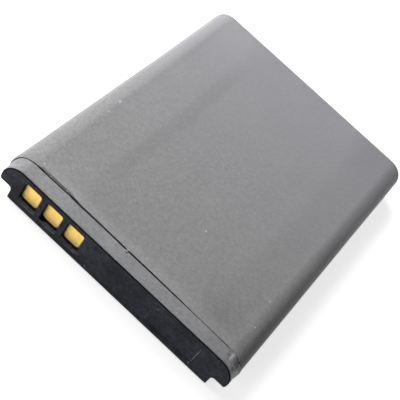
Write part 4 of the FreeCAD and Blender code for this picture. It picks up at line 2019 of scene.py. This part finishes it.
                # Sills get the paler finish, painted light; the walls get the near-black one, painted
                # shade
                return Face.SILL_LIGHT_AND_DUST if normal.z > 0.25 else Face.PAINTED_SHADE
        # Rubbed edges of the frame and the panel, with a painted highlight
        if rounded and self.face_setback - self.slack < depth < self.plate and self.is_rubbed_highlight(x, z):
            return Face.RUBBED_HIGHLIGHT
        away = math.hypot(max(0.0, abs(x) - PACK.core), z - PACK.middle_z)
        inset = PACK.side_radius - away if abs(x) > PACK.core else min(z, PACK.thickness - z)
        # The bare lip between the face and the film is painted dark as shade
        on_lip = rounded and depth < PACK.lip + 0.01 and inset < PACK.shoulder
        return Face.PAINTED_SHADE if on_lip else Face.PLAIN

    def build_mesh(self) -> bpy.types.Object:
        """The whole moulding.

        Returns:
            The piece, with a material number on each face.
        """
        cap = self.body()
        floor_z = PACK.film + self.skirt
        half = self.cavity_half_width
        rings = [rounded_ring(-half, half, floor_z, PACK.thickness - floor_z, self.cavity_corner, depth,
                              steps=5) for depth in (self.plate, self.depth + 1)]
        combine(cap, [loft("cavity", rings)], "DIFFERENCE")
        rib_xs = [self.window_xs[0] + (index + 0.5) * self.pitch for index in range(self.rib_count)]
        combine(cap, [self.rib(x) for x in rib_xs if x < half], "UNION")
        step, edge, face = self.step_round, self.edge_round, self.face_setback
        frame, panel, share = self.frame_depth, self.panel_depth, self.step_share
        step_box = (-20.0, 20.0, self.foot_line, 12.0)
        wanted = [("step", step_box, 0.02, 0.0, face, step, face * share)]
        wanted += [("window", window, self.window_corner, face, self.plate + 0.2, edge, edge)
                   for window in self.windows()]
        wanted.append(("frame", self.frame_box, self.frame_corner, face, frame, step,
                       (frame - face) * share))
        wanted.append(("panel", self.panel_box, self.panel_corner, frame, panel, self.panel_round,
                       (panel - frame) * share))
        cutters = [self.rectangle_cutter(*each) for each in wanted]
        cutters.append(self.chip_cutter())
        cutters += [self.notch_cutter(side) for side in Side]
        combine(cap, cutters, "DIFFERENCE")
        for polygon in cap.data.polygons:
            polygon.material_index = self.finish_of(polygon.center, polygon.normal).value
        return cap

    def build(self, nodes: dict[str, bpy.types.Object]) -> None:
        """Builds the front cap and dresses the rear one.

        Args:
            nodes: The CAD nodes by name.
        """
        cap = self.build_mesh()
        soften(cap)
        finish_piece(cap, self.finish, Slot.BLACK_MOULDING, ["front_cap"],
                     [self.rubbed_highlight_finish, self.shaded_finish, self.sill_light_and_dust_finish])
        finish_piece(nodes["rear_cap"], self.finish, Slot.BLACK_MOULDING)


# Contacts and circuit board


@dataclass
class BoardAssembly:
    """Circuit board, its gold pads and the parts soldered on it."""

    chip_end: float = 0.25
    gold: PlatedFinish = PlatedFinish(name="gold plating")
    laminate: BoardFinish = BoardFinish(name="board laminate")

    def ended(self, name: str, node: str, body: Colour, axis: Axis, end: float) -> EndedFinish:
        """Finish of a part with tinned ends of a length.

        Args:
            name: Name of the material.
            node: CAD node that it is for.
            body: Colour of the body.
            axis: Direction from end to end.
            end: Length of each tinned end.

        Returns:
            The finish, placed by the node's box.
        """
        low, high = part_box(node)
        middle = (low[axis.value] + high[axis.value]) / 2 / MM
        half = (high[axis.value] - low[axis.value]) / 2 / MM
        return EndedFinish(name=name, body=body, middle=middle, half_body=half - end, axis=axis)

    def build(self, nodes: dict[str, bpy.types.Object]) -> None:
        """Dresses the board and all that it carries.

        Args:
            nodes: The CAD nodes by name.
        """
        for name in ("contact_positive", "contact_signal", "contact_negative"):
            finish_piece(nodes[name], self.gold, Slot.GOLD_PLATING)
        finish_piece(nodes["protection_board"], self.laminate, Slot.BOARD_LAMINATE)
        parts = (
            ("protection_ic", srgb(34, 34, 36), Axis.Z, 0.6, Slot.PACKAGE_MOULDING),
            ("switch_transistor", srgb(32, 33, 35), Axis.X, 1.0, Slot.PACKAGE_MOULDING),
            ("thermistor", srgb(96, 120, 92), Axis.X, self.chip_end, Slot.CHIP_CERAMIC),
            ("filter_capacitor", srgb(168, 132, 92), Axis.X, self.chip_end, Slot.CHIP_CERAMIC),
            ("supply_resistor", srgb(40, 40, 44), Axis.X, self.chip_end, Slot.CHIP_CERAMIC),
            ("sense_resistor", srgb(42, 48, 70), Axis.X, self.chip_end, Slot.CHIP_CERAMIC),
        )
        for node, body, axis, end, slot in parts:
            finish = self.ended(node.replace("_", " ") + " body", node, body, axis, end)
            finish_piece(nodes[node], finish, slot)


@dataclass
class CellAssembly:
    """Sealed cell with its terminal, strips, fuse, card and tape."""

    aluminium: MetalFinish = MetalFinish(
        name="drawn aluminium", colour=srgb(205, 206, 208), dull=srgb(160, 161, 164), roughness=0.34,
        stretch=(1.0, 0.03, 1.0), line_contrast=0.35)
    nickel: MetalFinish = MetalFinish(
        name="rolled nickel", colour=srgb(196, 192, 184), dull=srgb(150, 146, 138), roughness=0.28,
        stretch=(0.04, 1.0, 1.0), line_contrast=0.4)
    gasket: MouldedFinish = MouldedFinish(
        name="natural moulding", colour=srgb(206, 204, 196), worn=srgb(228, 227, 222), roughness=0.5,
        dust=0.02)
    fuse: FibreFinish = FibreFinish(
        name="coated polymer", colour=srgb(44, 118, 72), pale=srgb(92, 150, 112), roughness=0.5)
    card: FibreFinish = FibreFinish(
        name="fibre card", colour=srgb(86, 118, 96), pale=srgb(140, 160, 140))
    tape: FibreFinish = FibreFinish(
        name="adhesive tape", colour=srgb(214, 210, 200), pale=srgb(236, 234, 228))

    def build(self, nodes: dict[str, bpy.types.Object]) -> None:
        """Dresses the cell and what is wired to it.

        Args:
            nodes: The CAD nodes by name.
        """
        dressed = (
            ("sealed_cell", self.aluminium, Slot.CAN_METAL),
            ("fill_plug", self.aluminium, Slot.CAN_METAL),
            ("terminal_rivet", self.nickel, Slot.NICKEL_STRIP),
            ("terminal_gasket", self.gasket, Slot.GASKET_PLASTIC),
            ("tab_positive", self.nickel, Slot.NICKEL_STRIP),
            ("tab_negative", self.nickel, Slot.NICKEL_STRIP),
            ("fuse_lead", self.nickel, Slot.NICKEL_STRIP),
            ("thermal_fuse", self.fuse, Slot.FUSE_POLYMER),
            ("lid_insulator", self.card, Slot.INSULATING_CARD),
            ("rear_tape", self.tape, Slot.ADHESIVE_TAPE),
        )
        for node, finish, slot in dressed:
            finish_piece(nodes[node], finish, slot)


# Studio


@dataclass(frozen=True)
class Lamp:
    """A soft rectangular lamp aimed at the pack."""

    name: str
    place: Point
    size: Pair
    power: float

    def build(self) -> None:
        """Adds the lamp."""
        light = bpy.data.lights.new(self.name, "AREA")
        light.shape = "RECTANGLE"
        light.size, light.size_y = self.size[0] * MM, self.size[1] * MM
        light.energy = self.power
        lamp = placed(self.name, light)
        where = Vector(self.place) * MM
        aim = Vector((0.0, 0.0, PACK.middle_z)) * MM
        lamp.location = where
        lamp.rotation_mode = "QUATERNION"
        lamp.rotation_quaternion = (aim - where).to_track_quat("-Z", "Y")


@dataclass
class Studio:
    """Camera, lamps, floor and surroundings."""

    lens: float = 94.716
    sensor: float = 36.0
    clip: Pair = (0.002, 20.0)
    eye: Point = (9.848, -91.917, 94.159)
    right: Point = (0.7313814571, 0.5310258321, 0.4278933626)
    down: Point = (0.6777494031, -0.4962925199, -0.5425398429)
    floor_half: float = 1500.0
    floor_colour: Colour = (0.82, 0.82, 0.82, 1.0)
    floor_glow: float = 0.7
    ambient: float = 0.09
    lamps: tuple[Lamp, ...] = (
        Lamp("left softbox", (-260.0, 20.0, 200.0), (220.0, 260.0), 0.66),
        Lamp("left near", (-110.0, 90.0, 110.0), (120.0, 120.0), 0.262),
        Lamp("rear right", (150.0, 190.0, 60.0), (120.0, 80.0), 0.07),
        Lamp("front left", (-120.0, -280.0, 60.0), (240.0, 100.0), 0.363),
    )

    def build_camera(self) -> None:
        """Camera where the photographer stood."""
        data = bpy.data.cameras.new("camera")
        data.lens = self.lens
        data.sensor_width = self.sensor
        data.clip_start, data.clip_end = self.clip
        camera = placed("camera", data)
        right, up = Vector(self.right), -Vector(self.down)
        back = right.cross(up)
        turned = Matrix((right, up, back)).transposed().to_4x4()
        camera.matrix_world = Matrix.Translation(Vector(self.eye) * MM) @ turned
        bpy.context.scene.camera = camera

    @staticmethod
    def seen_rays(graph: Graph) -> Socket:
        """1 for what the camera sees, straight, in a gloss or through glass.

        Args:
            graph: Graph of the floor's material or of the world.

        Returns:
            1 for such a ray and 0 for the rest.
        """
        path = graph.node("LightPath").outputs
        mirrored = graph.math("MAXIMUM", path["Is Glossy Ray"], path["Is Transmission Ray"])
        return graph.math("MAXIMUM", path["Is Camera Ray"], mirrored)

    def build_floor(self) -> None:
        """Plain pale floor that keeps the shadow and shows white, clear from below."""
        half = self.floor_half * MM
        corners = [(-half, -half, 0), (half, -half, 0), (half, half, 0), (-half, half, 0)]
        mesh = bpy.data.meshes.new("floor")
        mesh.from_pydata(corners, [], [(0, 1, 2, 3)])
        floor = placed("floor", mesh)
        material = bpy.data.materials.new("pale floor")
        material.use_nodes = True
        material.node_tree.nodes.clear()
        graph = Graph(material.node_tree)
        seen = graph.times(self.seen_rays(graph), self.floor_glow)
        paint = graph.node("BsdfDiffuse", {"Color": self.floor_colour})
        glow = graph.node("Emission", {"Color": WHITE, "Strength": seen})
        both = graph.node("AddShader", {0: paint.outputs[0], 1: glow.outputs[0]})
        clear = graph.node("BsdfTransparent")
        below = graph.node("NewGeometry").outputs["Backfacing"]
        mixed = graph.node("MixShader", {0: below, 1: both.outputs[0], 2: clear.outputs[0]})
        graph.material(mixed.outputs[0])
        mesh.materials.append(material)

    def build_world(self) -> None:
        """White surroundings for the camera and for reflections, softer light for the rest."""
        world = bpy.data.worlds.new("surroundings")
        world.use_nodes = True
        world.node_tree.nodes.clear()
        graph = Graph(world.node_tree)
        strength = graph.remap(self.seen_rays(graph), 0.0, 1.0, self.ambient, 1.0)
        sky = graph.node("Background", {"Color": WHITE, "Strength": strength})
        graph.node("OutputWorld", {"Surface": sky.outputs[0]})
        bpy.context.scene.world = world

    def build(self) -> None:
        """Sets up the studio."""
        bpy.context.scene.view_settings.view_transform = "Standard"
        self.build_camera()
        self.build_floor()
        self.build_world()
        for lamp in self.lamps:
            lamp.build()


def main() -> None:
    """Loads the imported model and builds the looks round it."""
    logging.basicConfig(level=logging.INFO, format="%(name)s: %(message)s")
    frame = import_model()
    nodes = frame["nodes"]
    Studio().build()
    MouldedCap().build(nodes)
    Films().build()
    BoardAssembly().build(nodes)
    CellAssembly().build(nodes)


if __name__ == "__main__":
    main()
